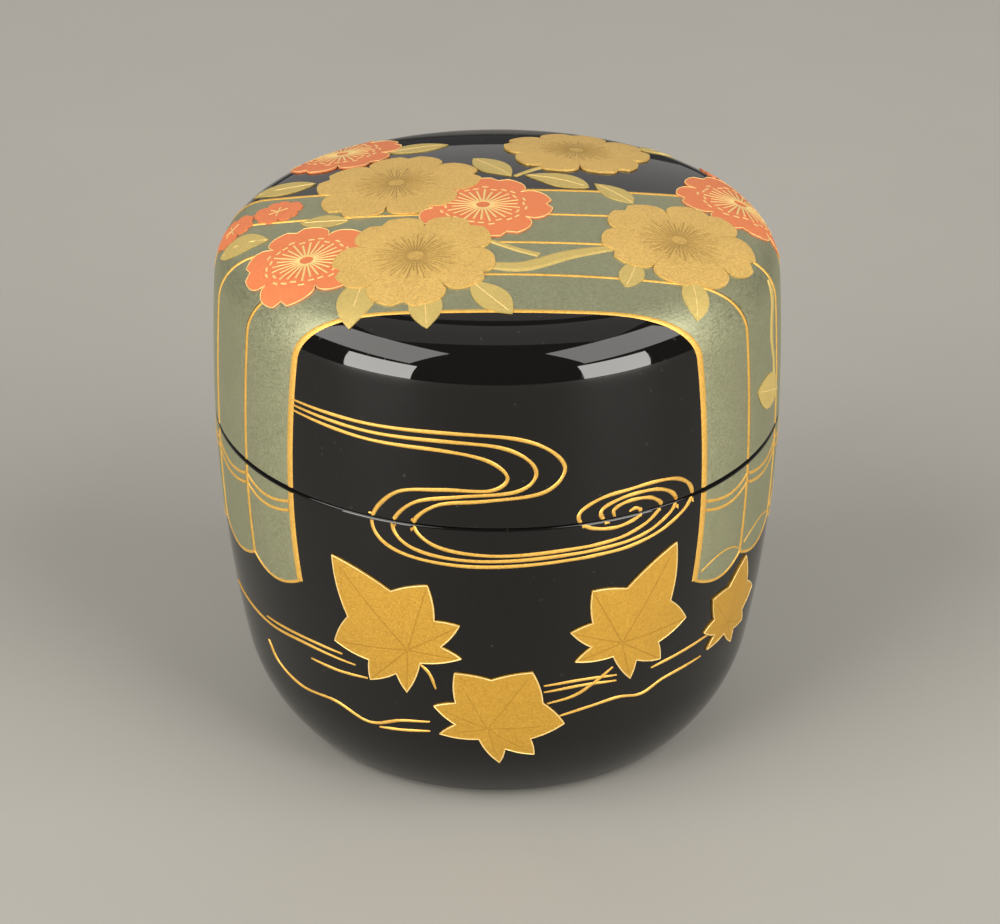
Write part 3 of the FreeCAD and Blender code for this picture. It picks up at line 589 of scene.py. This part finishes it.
# Flat outlines and paths
def rotated(points, degrees):
    turn = radians(degrees)
    cosine, sine = cos(turn), sin(turn)
    return [(x * cosine - y * sine, x * sine + y * cosine) for x, y in points]

def polar(radius, degrees):
    return on_circle((0.0, 0.0), radius, radians(degrees))

def bowed(start, end, bulge, count):
    """Points from start towards end along a bow to the right of the way."""
    way = (end[0] - start[0], end[1] - start[1])
    points = []
    for i in range(count):
        t = i / count
        off = 4 * bulge * t * (1 - t)
        points.append((start[0] + way[0] * t + way[1] * off, start[1] + way[1] * t - way[0] * off))
    return points

def closed(corners, bulge, count):
    pairs = zip(corners, corners[1:] + corners[:1])
    return [point for start, end in pairs for point in bowed(start, end, bulge, count)]

def blossom(radius):
    """A flower with nicked petals that differ a little in size."""
    shares = (-1.0, *(-step for step in reversed(PETAL_STEPS)), 0.0, *PETAL_STEPS)
    half = 180.0 / PETALS
    points = []
    for petal in range(PETALS):
        size = radius * (1.0 + PETAL_SPREAD * sin(2.1 * petal + 900 * radius))
        for share in shares:
            bend = sqrt(1 - abs(share) ** PETAL_POWER)
            nick = NICK_DEPTH * max(0.0, 1 - abs(share) / NICK_WIDTH)
            reach = PETAL_ROOT + (1 - PETAL_ROOT) * bend - nick
            points.append(polar(size * reach, 2 * half * petal + half * share))
    return points

def maple(size, fullness):
    """A lobed leaf about the meeting of its veins, with its long lobe to the right."""
    corners = [(size, 0.0)]
    for (angle, _, notch), (following, reach, _) in zip(LOBES, LOBES[1:]):
        corners.append(polar(size * fullness * notch, (angle + following) / 2))
        corners.append(polar(size * fullness * reach, following))
    mirrored = [(x, -y) for x, y in reversed(corners[1:])]
    stem = polar(size * fullness * LOBES[-1][2], 180.0)
    return closed(corners + [stem] + mirrored, LOBE_BULGE, LOBE_STEPS)

def leaf(size):
    return closed([(-size / 2, 0.0), (size / 2, 0.0)], LEAF_BULGE, LEAF_STEPS)

def rim(outline, width, turn):
    """A closed path along a motif's edge, half its width inside, for a painted edge highlight."""
    points = [Vector(point) for point in rotated(outline, turn)]
    count = len(points)
    path = []
    for index in range(count + 1):
        here = points[index % count]
        way = points[(index + 1) % count] - points[index - 1]
        way.normalize()
        path.append(Vector((here.x - way.y * width / 2, here.y + way.x * width / 2, width)))
    return path

def stamen(size, degrees, first, last, width):
    """A thin path out from a flower's heart, between two shares of its size."""
    reach = last - first
    return [Vector((*polar(size * (first + reach * t / 3), degrees), width)) for t in range(4)]

def dash(radius, degrees, span, width):
    """A short path across a stamen's end."""
    half = math.degrees(span / radius / 2)
    return [Vector((*polar(radius, degrees + half * t), width)) for t in (-1.0, -0.3, 0.3, 1.0)]

def smooth_path(points, steps):
    """A smooth path through points that carry a width as their third value."""
    ends = [Vector(point) for point in points]
    ends = [2 * ends[0] - ends[1], *ends, 2 * ends[-1] - ends[-2]]
    path = []
    for before, start, end, after in zip(ends, ends[1:], ends[2:], ends[3:]):
        leave, arrive = start + (end - before) / 6, end - (after - start) / 6
        path += interpolate_bezier(start, leave, arrive, end, steps + 1)[:-1]
    return path + [ends[-2]]

def brushed(points, width):
    """A path that swells a little and thins at both ends."""
    path = smooth_path([(x * MM, y * MM, width) for x, y in points], BRUSH_STEPS)
    for index, point in enumerate(path):
        share = min(index, len(path) - 1 - index) / BRUSH_TAPER
        taper = min(1.0, BRUSH_TIP + (1 - BRUSH_TIP) * share)
        point.z *= (1.0 + BRUSH_SWELL * sin(index * BRUSH_BEAT)) * taper
    return path

# Raised shapes, each added to a bmesh
def grid(bm, steps, rows):
    return bmesh.ops.create_grid(bm, x_segments=steps, y_segments=rows, size=0.5)["verts"]

def ribbon(bm, path, relief, seat, fullness=1.0):
    """Add a rounded band along a path of flat places and widths; a fuller band is flatter."""
    count = len(path) - 1
    for vert in grid(bm, count, RIBBON_STEPS):
        index = round((vert.co.x + 0.5) * count)
        here, across = path[index], vert.co.y
        way = path[min(index + 1, count)] - path[max(index - 1, 0)]
        off = here.z * across / hypot(way.x, way.y)
        lift = relief * min(1.0, fullness * sqrt(max(0.0, 1 - 4 * across ** 2)))
        vert.co = seat(here.x - way.y * off, here.y + way.x * off, lift)

def field(bm, steps, rows, seat):
    """Add a grid whose two shares, each from 0 to 1, a seat turns into places."""
    for vert in grid(bm, steps, rows):
        vert.co = seat(vert.co.x + 0.5, vert.co.y + 0.5)

def plate(bm, outline, size, relief, cell, seat, turn):
    """Add a flat motif, cut finely enough to follow the surface."""
    flat = bmesh.new()
    face = flat.faces.new([flat.verts.new((x, y, 0.0)) for x, y in outline])
    face.normal_update()
    if face.normal.z < 0:
        face.normal_flip()
    reach = ceil(size / cell)
    for across in ((1.0, 0.0, 0.0), (0.0, 1.0, 0.0)):
        for step in range(-reach, reach + 1):
            geometry = flat.verts[:] + flat.edges[:] + flat.faces[:]
            bmesh.ops.bisect_plane(flat, geom=geometry, dist=CUT_WELD, plane_no=across,
                                   plane_co=Vector(across) * step * cell)
    bmesh.ops.triangulate(flat, faces=[face for face in flat.faces if len(face.verts) > 4])
    marks = flat.loops.layers.uv.new("motif")
    for edge in flat.edges:
        edge.smooth = not edge.is_boundary
    for face in flat.faces:
        face.smooth = True
        for loop in face.loops:
            loop[marks].uv = loop.vert.co.xy / size
    for vert in flat.verts:
        (x, y), = rotated([vert.co.xy], turn)
        vert.co = seat(x, y, relief)
    mesh = bpy.data.meshes.new("motif")
    flat.to_mesh(mesh)
    flat.free()
    bm.from_mesh(mesh)
    bpy.data.meshes.remove(mesh)

# Raft of bamboo culms
def half_round(share, relief):
    return relief * sqrt(max(0.0, 1 - (2 * share - 1) ** 2))

def pillow(share, relief):
    return PILLOW_EDGE * relief + (1 - PILLOW_EDGE) * half_round(share, relief)

class Raft:
    """The raft: places by a line's number, whole or not, over the lid and down the sides."""

    def __init__(self, outside, shape, sizes):
        self.outside = outside
        self.sizes = sizes
        self.radius = shape.diameter / 2
        self.edge = shape.seam_edge
        self.turn_run = outside.run_at(outside.at(0)[1] - sizes.raft_turn)

    def line(self, number):
        """A line's place behind the axis and its bow."""
        low = min(max(int(number), 0), len(RAFT_BOWS) - 2)
        bow = RAFT_BOWS[low] + (RAFT_BOWS[low + 1] - RAFT_BOWS[low]) * (number - low)
        return self.sizes.raft_front + number * self.sizes.pitch, bow * MM / self.radius ** 2

    def across(self, number, radius):
        """How far from the middle a line reaches a radius."""
        middle, bow = self.line(number)
        slope = 1 + 2 * bow * middle
        root = sqrt(slope ** 2 - 4 * bow ** 2 * (middle ** 2 - radius ** 2))
        return sqrt(max(0.0, (root - slope) / (2 * bow ** 2)))

    def side(self, number, run, side, lift):
        """The place where a line reaches a run down the side."""
        middle, bow = self.line(number)
        across = self.across(number, self.outside.at(run)[0])
        azimuth = atan2(side * across, -middle - bow * across ** 2)
        return self.outside.place(azimuth, run, lift)

    def over(self, number, share, lift):
        """The place at a share of the way over the lid, from left to right."""
        middle, bow = self.line(number)
        side = 1 if share >= 0.5 else -1
        share = abs(2 * share - 1)
        if share > FLAT_SHARE:
            down = self.outside.rim - self.edge - self.turn_run
            run = self.turn_run + down * (share - FLAT_SHARE) / (1 - FLAT_SHARE)
            return self.side(number, run, side, lift)
        across = self.across(number, self.outside.at(self.turn_run)[0]) * share / FLAT_SHARE
        behind = middle + bow * across ** 2
        size = self.outside.lid[0][1]
        run = size * asin(min(1.0, hypot(across, behind) / size))
        return self.outside.place(atan2(side * across, -behind), run, lift)

    def drop(self, share, low, sag):
        """The run at a share across a culm, on a line that sags below the seam."""
        return self.outside.rim + low + sag * (1 - (2 * share - 1) ** 2)

    def strip(self, lid, body, low, high, steps, sag, lift):
        """Add a strip between two line numbers, over the lid and down both sides of the body."""
        def over(along, across):
            return self.over(low + (high - low) * across, along, lift(across))

        field(lid, *steps[0], over)
        first = self.outside.rim + self.edge
        for side in SIDES:
            def down(across, along):
                across = across if side > 0 else 1 - across
                last = self.drop(across, self.sizes.culm_end, sag)
                run = last + (first - last) * along
                return self.side(low + (high - low) * across, run, side, lift(across))

            field(body, *steps[1], down)

    def band(self, bm, culm, side, low, sag, width, margin):
        """Add a sagging band across a culm, with a margin at both ends."""
        def cross(along, across):
            share = margin + (1 - 2 * margin) * (along if side > 0 else 1 - along)
            run = self.drop(share, low, sag) - (2 * across - 1) * width / 2
            return self.side(culm + share, run, side, half_round(across, self.sizes.line))

        field(bm, *BAND_STEPS, cross)

def caddy(scene):
    return scene.caddy_shape, scene.caddy_relief, scene.caddy_colours

def lay_cores(scene):
    colours = scene.caddy_colours
    wood = wood_shader("turned_wood", colours.wood, colours.wood_deep)
    under = lacquer("underside_lacquer", colours.black, rough=0.08)
    for name, material in (("lid_core", wood), ("body_core", wood), ("underside_coat", under)):
        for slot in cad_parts[name].material_slots:
            slot.material = material

class CADDY_OT_cores(bpy.types.Operator):
    """Give the turned wooden cores and the underside their materials"""

    bl_idname = "caddy.cores"
    bl_label = "Cores and underside"

    def execute(self, context):
        lay_cores(context.scene)
        return {"FINISHED"}

def lay_lacquer(scene):
    shape = scene.caddy_shape
    colours = scene.caddy_colours
    outside = Outside(shape)
    black = lacquer("black_lacquer", colours.black, rough=0.02)
    inner = lacquer("inner_lacquer", colours.inner, rough=0.1)
    seam, coat, seam_edge = shape.seam, shape.coat, shape.seam_edge
    bore = shape.diameter / 2 - shape.lid_wall
    collar = bore - shape.clearance
    cavity = collar - shape.collar_wall

    front = cut_short(outside.lid, 2, seam + seam_edge, 0.0)
    back = cut_short(outside.lid, 2, seam + coat, -coat)
    lid = section_of(front, 0.0, FINE)
    lid += sampled((lid[-1][0] - seam_edge, lid[-1][1]), seam_edge, 0.0, -UP, EDGE_STEP)
    lid += [(bore + shape.inner_coat, seam), (bore + shape.inner_coat, seam + coat)]
    lid += reversed(section_of(back, -coat, PLAIN))

    front = cut_short(outside.body, 0, seam - seam_edge, 0.0)
    back = cut_short(outside.body, 0, seam - coat, -coat)
    body = section_of(front, 0.0, FINE)
    edge = (body[0][0] - seam_edge, body[0][1])
    body = sampled(edge, seam_edge, UP, 0.0, EDGE_STEP) + body
    body += reversed(section_of(back, -coat, PLAIN))
    body += [(collar - shape.inner_coat, seam - coat), (collar - shape.inner_coat, seam)]
    body.append(body[0])

    ceiling = shape.crown - shape.crown_wall
    corner_out = bore - shape.lid_corner
    rise = sqrt((ceiling - shape.lid_corner) ** 2 - corner_out ** 2)
    corner = (corner_out, outside.crown[1] + rise)
    bend = direction(outside.crown, corner)
    collar_bend = seam + shape.collar_height - shape.collar_edge
    floor_corner = (cavity - shape.cavity_corner, shape.cavity_floor + shape.cavity_corner)

    def hollow(depth):
        return [(bore + depth, seam),
                *sampled(corner, shape.lid_corner + depth, 0.0, bend, FINE),
                *sampled(outside.crown, ceiling + depth, bend, UP, FINE)]

    def cup(depth):
        edge, size = shape.collar_edge, shape.collar_edge - depth
        return [(collar - depth, seam),
                *sampled((collar - edge, collar_bend), size, 0.0, UP, COLLAR_STEP),
                *sampled((cavity + edge, collar_bend), size, UP, pi, COLLAR_STEP),
                *sampled(floor_corner, shape.cavity_corner + depth, 0.0, -UP, FINE),
                (0.0, shape.cavity_floor - depth)]

    lid_inner, body_inner = (
        [*reversed(layer(0.0)), *layer(shape.inner_coat)] for layer in (hollow, cup))
    for name, section, material, rides_on, slot, node in (
            ("lid_lacquer", lid, black, "lid", "black_lacquer", "lid_outer_coat"),
            ("body_lacquer", body, black, "body", "black_lacquer", "body_outer_coat"),
            ("lid_inner_lacquer", lid_inner, inner, "lid", "inner_lacquer", "lid_inner_coat"),
            ("body_inner_lacquer", body_inner, inner, "body", "inner_lacquer",
             "body_inner_coat")):
        add_piece(name, spun(section, shape.turns), material, rides_on, slot, [node])

class CADDY_OT_lacquer(bpy.types.Operator):
    """Turn the smooth outer and inner coats of the lid and the body"""

    bl_idname = "caddy.lacquer"
    bl_label = "Lacquer coats"

    def execute(self, context):
        lay_lacquer(context.scene)
        return {"FINISHED"}

def lay_raft(scene):
    shape, sizes, colours = caddy(scene)
    raft = Raft(Outside(shape), shape, sizes)
    silver = powder("silver_powder", colours, "silver", metallic=0.85, rough=0.38)
    gold = powder("raft_gold", colours, "gold", metallic=0.45, rough=0.36)
    last = len(RAFT_BOWS) - 1
    width = sizes.raft_line
    half = width / sizes.pitch / 2
    lid_fields, body_fields = bmesh.new(), bmesh.new()
    lid_lines, body_lines, bands = bmesh.new(), bmesh.new(), bmesh.new()

    for culm in range(last):
        raft.strip(lid_fields, body_fields, culm + half, culm + 1 - half, CULM_STEPS,
                   sizes.end_sag, lambda share: pillow(share, sizes.culm))
    for number in range(last + 1):
        reach = half * (BORDER_SHARE if number in (0, last) else DIVIDER_SHARE)
        raft.strip(lid_lines, body_lines, number - reach, number + reach, LINE_STEPS,
                   0.0, lambda share: half_round(share, sizes.line))
    for culm in range(last):
        for side in SIDES:
            raft.band(body_lines, culm, side, sizes.culm_end, sizes.end_sag, width, 0.0)
            if side > 0:
                raft.band(body_lines, culm, side, sizes.culm_end - sizes.end_gap,
                          -sizes.end_sag, width * ARC_SHARE, ARC_MARGIN)
            for low in (sizes.node_drop, sizes.node_drop + sizes.node_gap):
                raft.band(bands, culm, side, low, sizes.node_sag, width * BAND_SHARE, half)

    for name, bm, material, body, slot, node in (
            ("lid_culm_fields", lid_fields, silver, "lid", "silver_powder", "lid_raft_culms"),
            ("body_culm_fields", body_fields, silver, "body", "silver_powder",
             "body_raft_culms"),
            ("lid_raft_gold", lid_lines, gold, "lid", "gold_powder", "lid_raft_lines"),
            ("body_raft_gold", body_lines, gold, "body", "gold_powder", "body_raft_lines"),
            ("raft_node_bands", bands, gold, "body", "gold_powder", "body_raft_nodes")):
        add_piece(name, bm, material, body, slot, [node], sizes.sink)

class CADDY_OT_raft(bpy.types.Operator):
    """Lay the raft's culms, lines and node bands over the lid and down the body"""

    bl_idname = "caddy.raft"
    bl_label = "Bamboo raft"

    def execute(self, context):
        lay_raft(context.scene)
        return {"FINISHED"}

def lay_water(scene):
    shape, sizes, colours = caddy(scene)
    outside = Outside(shape)
    raft = Raft(outside, shape, sizes)
    gold = powder("line_gold", colours, "gold", metallic=0.5, rough=0.34)
    lid, body, water = bmesh.new(), bmesh.new(), bmesh.new()

    def clear_of_raft(point):
        radius = outside.at(outside.run_at(shape.seam + point.y))[0]
        return abs(point.x) < raft.across(0, radius)

    def clear_of_seam(point):
        up = copysign(max(abs(point.y), shape.seam_edge), point.y)
        return Vector((point.x, up, point.z))

    for turn in (0.0, pi):
        seat = front_seat(outside, turn)
        for points in STREAM_LINES:
            path = filter(clear_of_raft, brushed(points, sizes.stream_line))
            for above, stretch in groupby(path, lambda point: point.y > 0):
                stretch = [clear_of_seam(point) for point in stretch]
                if len(stretch) > 2:
                    ribbon(lid if above else body, stretch, sizes.line, seat)
        for points in WATER_LINES:
            ribbon(water, brushed(points, sizes.water_line), sizes.line, seat)
    for name, bm, rides_on, node in (
            ("lid_stream", lid, "lid", "lid_stream_lines"),
            ("body_stream", body, "body", "body_stream_lines"),
            ("water", water, "body", "body_water_lines")):
        add_piece(name, bm, gold, rides_on, "gold_powder", [node], sizes.sink)

class CADDY_OT_water(bpy.types.Operator):
    """Draw the stream and the water lines on the front and the back"""

    bl_idname = "caddy.water"
    bl_label = "Stream and water"

    def execute(self, context):
        lay_water(context.scene)
        return {"FINISHED"}

def lay_maples(scene):
    shape, sizes, colours = caddy(scene)
    outside = Outside(shape)
    gold = powder("maple_gold", colours, "maple", metallic=0.5, rough=0.38, marks=maple_marks)
    # Pale gold band along each leaf's edge: a painted highlight of the raised edge
    bright = powder("maple_edge_highlight_gold", colours, "stamen", metallic=0.4, rough=0.34)
    leaves, edge_highlights = bmesh.new(), bmesh.new()
    for half_turn in (0.0, 180.0):
        for degrees, up, turn, size, fullness in MAPLE_LEAVES:
            azimuth = radians(degrees + half_turn)
            seat = wall_seat(outside, azimuth, outside.rim - up * MM)
            outline = maple(size * MM, fullness)
            edge = rim(outline, sizes.outline, turn)
            plate(leaves, outline, size * MM, sizes.red, sizes.cell, seat, turn)
            ribbon(edge_highlights, edge, sizes.stamen, raised(seat, sizes.red))
    sink = sizes.sink
    add_piece("gold_maples", leaves, gold, "body", "gold_powder", ["maple_leaves"], sink)
    add_piece("maple_edge_highlights", edge_highlights, bright, "body", "gold_powder", [], sink * TRIM_SINK)

class CADDY_OT_maples(bpy.types.Operator):
    """Lay the maple leaves on the body"""

    bl_idname = "caddy.maples"
    bl_label = "Maple leaves"

    def execute(self, context):
        lay_maples(context.scene)
        return {"FINISHED"}

def lay_flowers(scene):
    shape, sizes, colours = caddy(scene)
    outside = Outside(shape)
    sink, fine = sizes.sink, sizes.stamen
    gold = powder("blossom_gold", colours, "petal", 0.35, 0.45, blossom_marks)
    red = powder("vermilion_powder", colours, "red", 0.1, 0.45, blossom_marks)
    olive = powder("olive_gold_powder", colours, "olive", metallic=0.35, rough=0.45)
    dark = powder("thread_gold", colours, "thread", metallic=0.35, rough=0.45)
    # Pale gold of stamens and ribs, also painted as a highlight along red blossoms' edges
    bright = powder("stamen_and_edge_highlight_gold", colours, "stamen", metallic=0.4, rough=0.38)
    stamens, threads = bmesh.new(), bmesh.new()

    def draw_gold(size, turn, high):
        for index in range(GOLD_THREADS):
            angle = turn + 360.0 * index / GOLD_THREADS
            reach = GOLD_REACH + GOLD_STEP * (index % 3)
            line = stamen(size, angle, HEART, reach, THREAD)
            ribbon(threads, line, fine * THREAD_RELIEF, high)

    def draw_red(size, turn, high):
        # Pale band along the petals' edge: a painted highlight of the raised edge
        ribbon(stamens, rim(blossom(size), sizes.outline * RED_EDGE_HIGHLIGHT, turn), fine, high)
        for index in range(RED_STAMENS):
            angle = turn + 360.0 * index / RED_STAMENS
            reach = RED_REACH + RED_SPREAD * sin(index * 2.3)
            end = size * (reach + ANTHER_GAP)
            ribbon(stamens, stamen(size, angle, HEART, reach, RED_STAMEN), fine, high)
            ribbon(stamens, dash(end, angle, ANTHER_SPAN, ANTHER), fine, high)

    def draw_bud(size, turn, high):
        for index in range(BUD_STAMENS):
            line = stamen(size, turn + BUD_DEGREES * index, 0.0, BUD_REACH, BUD_STAMEN)
            ribbon(stamens, line, fine, high)

    for name, node, flowers, relief, material, slot, draw in (
            ("gold_blossoms", "lid_gold_blossoms", GOLD_BLOSSOMS, sizes.gold, gold,
             "gold_powder", draw_gold),
            ("red_blossoms", "lid_red_blossoms", RED_BLOSSOMS, sizes.red, red,
             "vermilion_powder", draw_red),
            ("red_buds", "lid_red_buds", RED_BUDS, sizes.red, red,
             "vermilion_powder", draw_bud)):
        bm = bmesh.new()
        for across, behind, radius, turn in flowers:
            size = radius * MM
            seat = top_seat(outside, across * MM, behind * MM)
            plate(bm, blossom(size), size * MAP_REACH, relief, sizes.cell, seat, turn)
            draw(size, turn, raised(seat, relief))
        add_piece(name, bm, material, "lid", slot, [node], sink)

    leaves, branches = bmesh.new(), bmesh.new()
    for across, behind, turn, size in LID_LEAVES:
        size *= MM
        azimuth = atan2(across, -behind)
        seat = wall_seat(outside, azimuth, hypot(across, behind) * MM)
        lean = turn - math.degrees(azimuth)
        plate(leaves, leaf(size), size / 2, sizes.leaf, sizes.cell, seat, lean)
        rib = rotated([(size * share, 0.0) for share in RIB_SHARES], lean)
        rib = [Vector((x, y, RIB)) for x, y in rib]
        ribbon(stamens, rib, fine, raised(seat, sizes.leaf))
    for points in LID_BRANCHES:
        path = smooth_path([(x * MM, y * MM, w * MM) for x, y, w in points], BRANCH_STEPS)
        ribbon(branches, path, sizes.leaf, top_seat(outside, 0.0, 0.0), BRANCH_FULLNESS)
    for name, bm, material, slot, nodes, depth in (
            ("lid_leaf_plates", leaves, olive, "olive_gold_powder", ["lid_leaves"], sink),
            ("lid_branch_bands", branches, olive, "olive_gold_powder", ["lid_branches"], sink),
            ("stamens_ribs_and_edge_highlights", stamens, bright, "gold_powder", [], sink * TRIM_SINK),
            ("gold_stamens", threads, dark, "olive_gold_powder", [], sink * TRIM_SINK)):
        add_piece(name, bm, material, "lid", slot, nodes, depth)

class CADDY_OT_flowers(bpy.types.Operator):
    """Lay the lid's blossoms with their stamens, and the leaves and branches under them"""

    bl_idname = "caddy.flowers"
    bl_label = "Blossoms, leaves and branches"

    def execute(self, context):
        lay_flowers(context.scene)
        return {"FINISHED"}

def lay_stage(scene):
    colours = scene.caddy_colours

    def build(wire):
        cloud = noise(wire, object_place(wire), CLOUDS, 4.0)
        return {
            "Base Color": cloud.mix(colours.floor, [c * FLOOR_SHADE for c in colours.floor]),
            "Roughness": 0.55 + cloud * 0.1,
            "Specular IOR Level": 0.3,
        }

    def aim_at(made, place, target):
        way = Vector(target) - Vector(place)
        made.location = place
        made.rotation_euler = way.to_track_quat("-Z", "Y").to_euler()

    bm = bmesh.new()
    bmesh.ops.create_grid(bm, x_segments=1, y_segments=1, size=FLOOR_REACH)
    mesh = bpy.data.meshes.new("floor")
    bm.to_mesh(mesh)
    bm.free()
    mesh.materials.append(shader("floor", build))
    floor = add_object("floor", mesh)

    world = bpy.data.worlds.new("studio")
    world.use_nodes = True
    sky = next(node for node in world.node_tree.nodes if node.type == "BACKGROUND")
    sky.inputs["Color"].default_value = (0.78, 0.78, 0.80, 1.0)
    sky.inputs["Strength"].default_value = 0.12
    scene.world = world

    for name, place, aim, width, depth, power in LAMPS:
        lamp = bpy.data.lights.new(name, "AREA")
        lamp.shape = "RECTANGLE"
        lamp.size = width
        lamp.size_y = depth
        lamp.energy = power
        lamp.color = colours.light
        light = add_object(name, lamp)
        aim_at(light, place, aim)

    lens = bpy.data.cameras.new("camera")
    lens.sensor_width = 36.0
    lens.lens = 112.94
    lens.shift_x = 0.00275
    lens.clip_start = 0.01
    camera = add_object("camera", lens)
    aim_at(camera, CAMERA_PLACE, CAMERA_AIM)
    scene.camera = camera
    scene.view_settings.view_transform = "Standard"

class CADDY_OT_stage(bpy.types.Operator):
    """Set the floor, the soft lights and the camera"""

    bl_idname = "caddy.stage"
    bl_label = "Stage"

    def execute(self, context):
        lay_stage(context.scene)
        return {"FINISHED"}

class CADDY_PT_panel(bpy.types.Panel):
    """Lists the operators that build the caddy"""

    bl_idname = "CADDY_PT_panel"
    bl_label = "Tea caddy"
    bl_space_type = "VIEW_3D"
    bl_region_type = "UI"
    bl_category = "Tea caddy"

    def draw(self, context):
        for operator in OPERATORS:
            self.layout.operator(operator.bl_idname)

GROUPS = {
    "caddy_shape": CaddyShape, "caddy_relief": CaddyRelief, "caddy_colours": CaddyColours,
}
OPERATORS = (
    CADDY_OT_cores, CADDY_OT_lacquer, CADDY_OT_raft, CADDY_OT_water, CADDY_OT_maples,
    CADDY_OT_flowers, CADDY_OT_stage,
)

def register():
    for each in (*GROUPS.values(), *OPERATORS, CADDY_PT_panel):
        bpy.utils.register_class(each)
    for name, group in GROUPS.items():
        setattr(bpy.types.Scene, name, PointerProperty(type=group))

def unregister():
    for name in GROUPS:
        delattr(bpy.types.Scene, name)
    for each in (CADDY_PT_panel, *reversed(OPERATORS), *reversed(GROUPS.values())):
        bpy.utils.unregister_class(each)

def main():
    register()
    bpy.ops.caddy.cores()
    bpy.ops.caddy.lacquer()
    bpy.ops.caddy.raft()
    bpy.ops.caddy.water()
    bpy.ops.caddy.maples()
    bpy.ops.caddy.flowers()
    bpy.ops.caddy.stage()

if __name__ == "__main__":
    main()
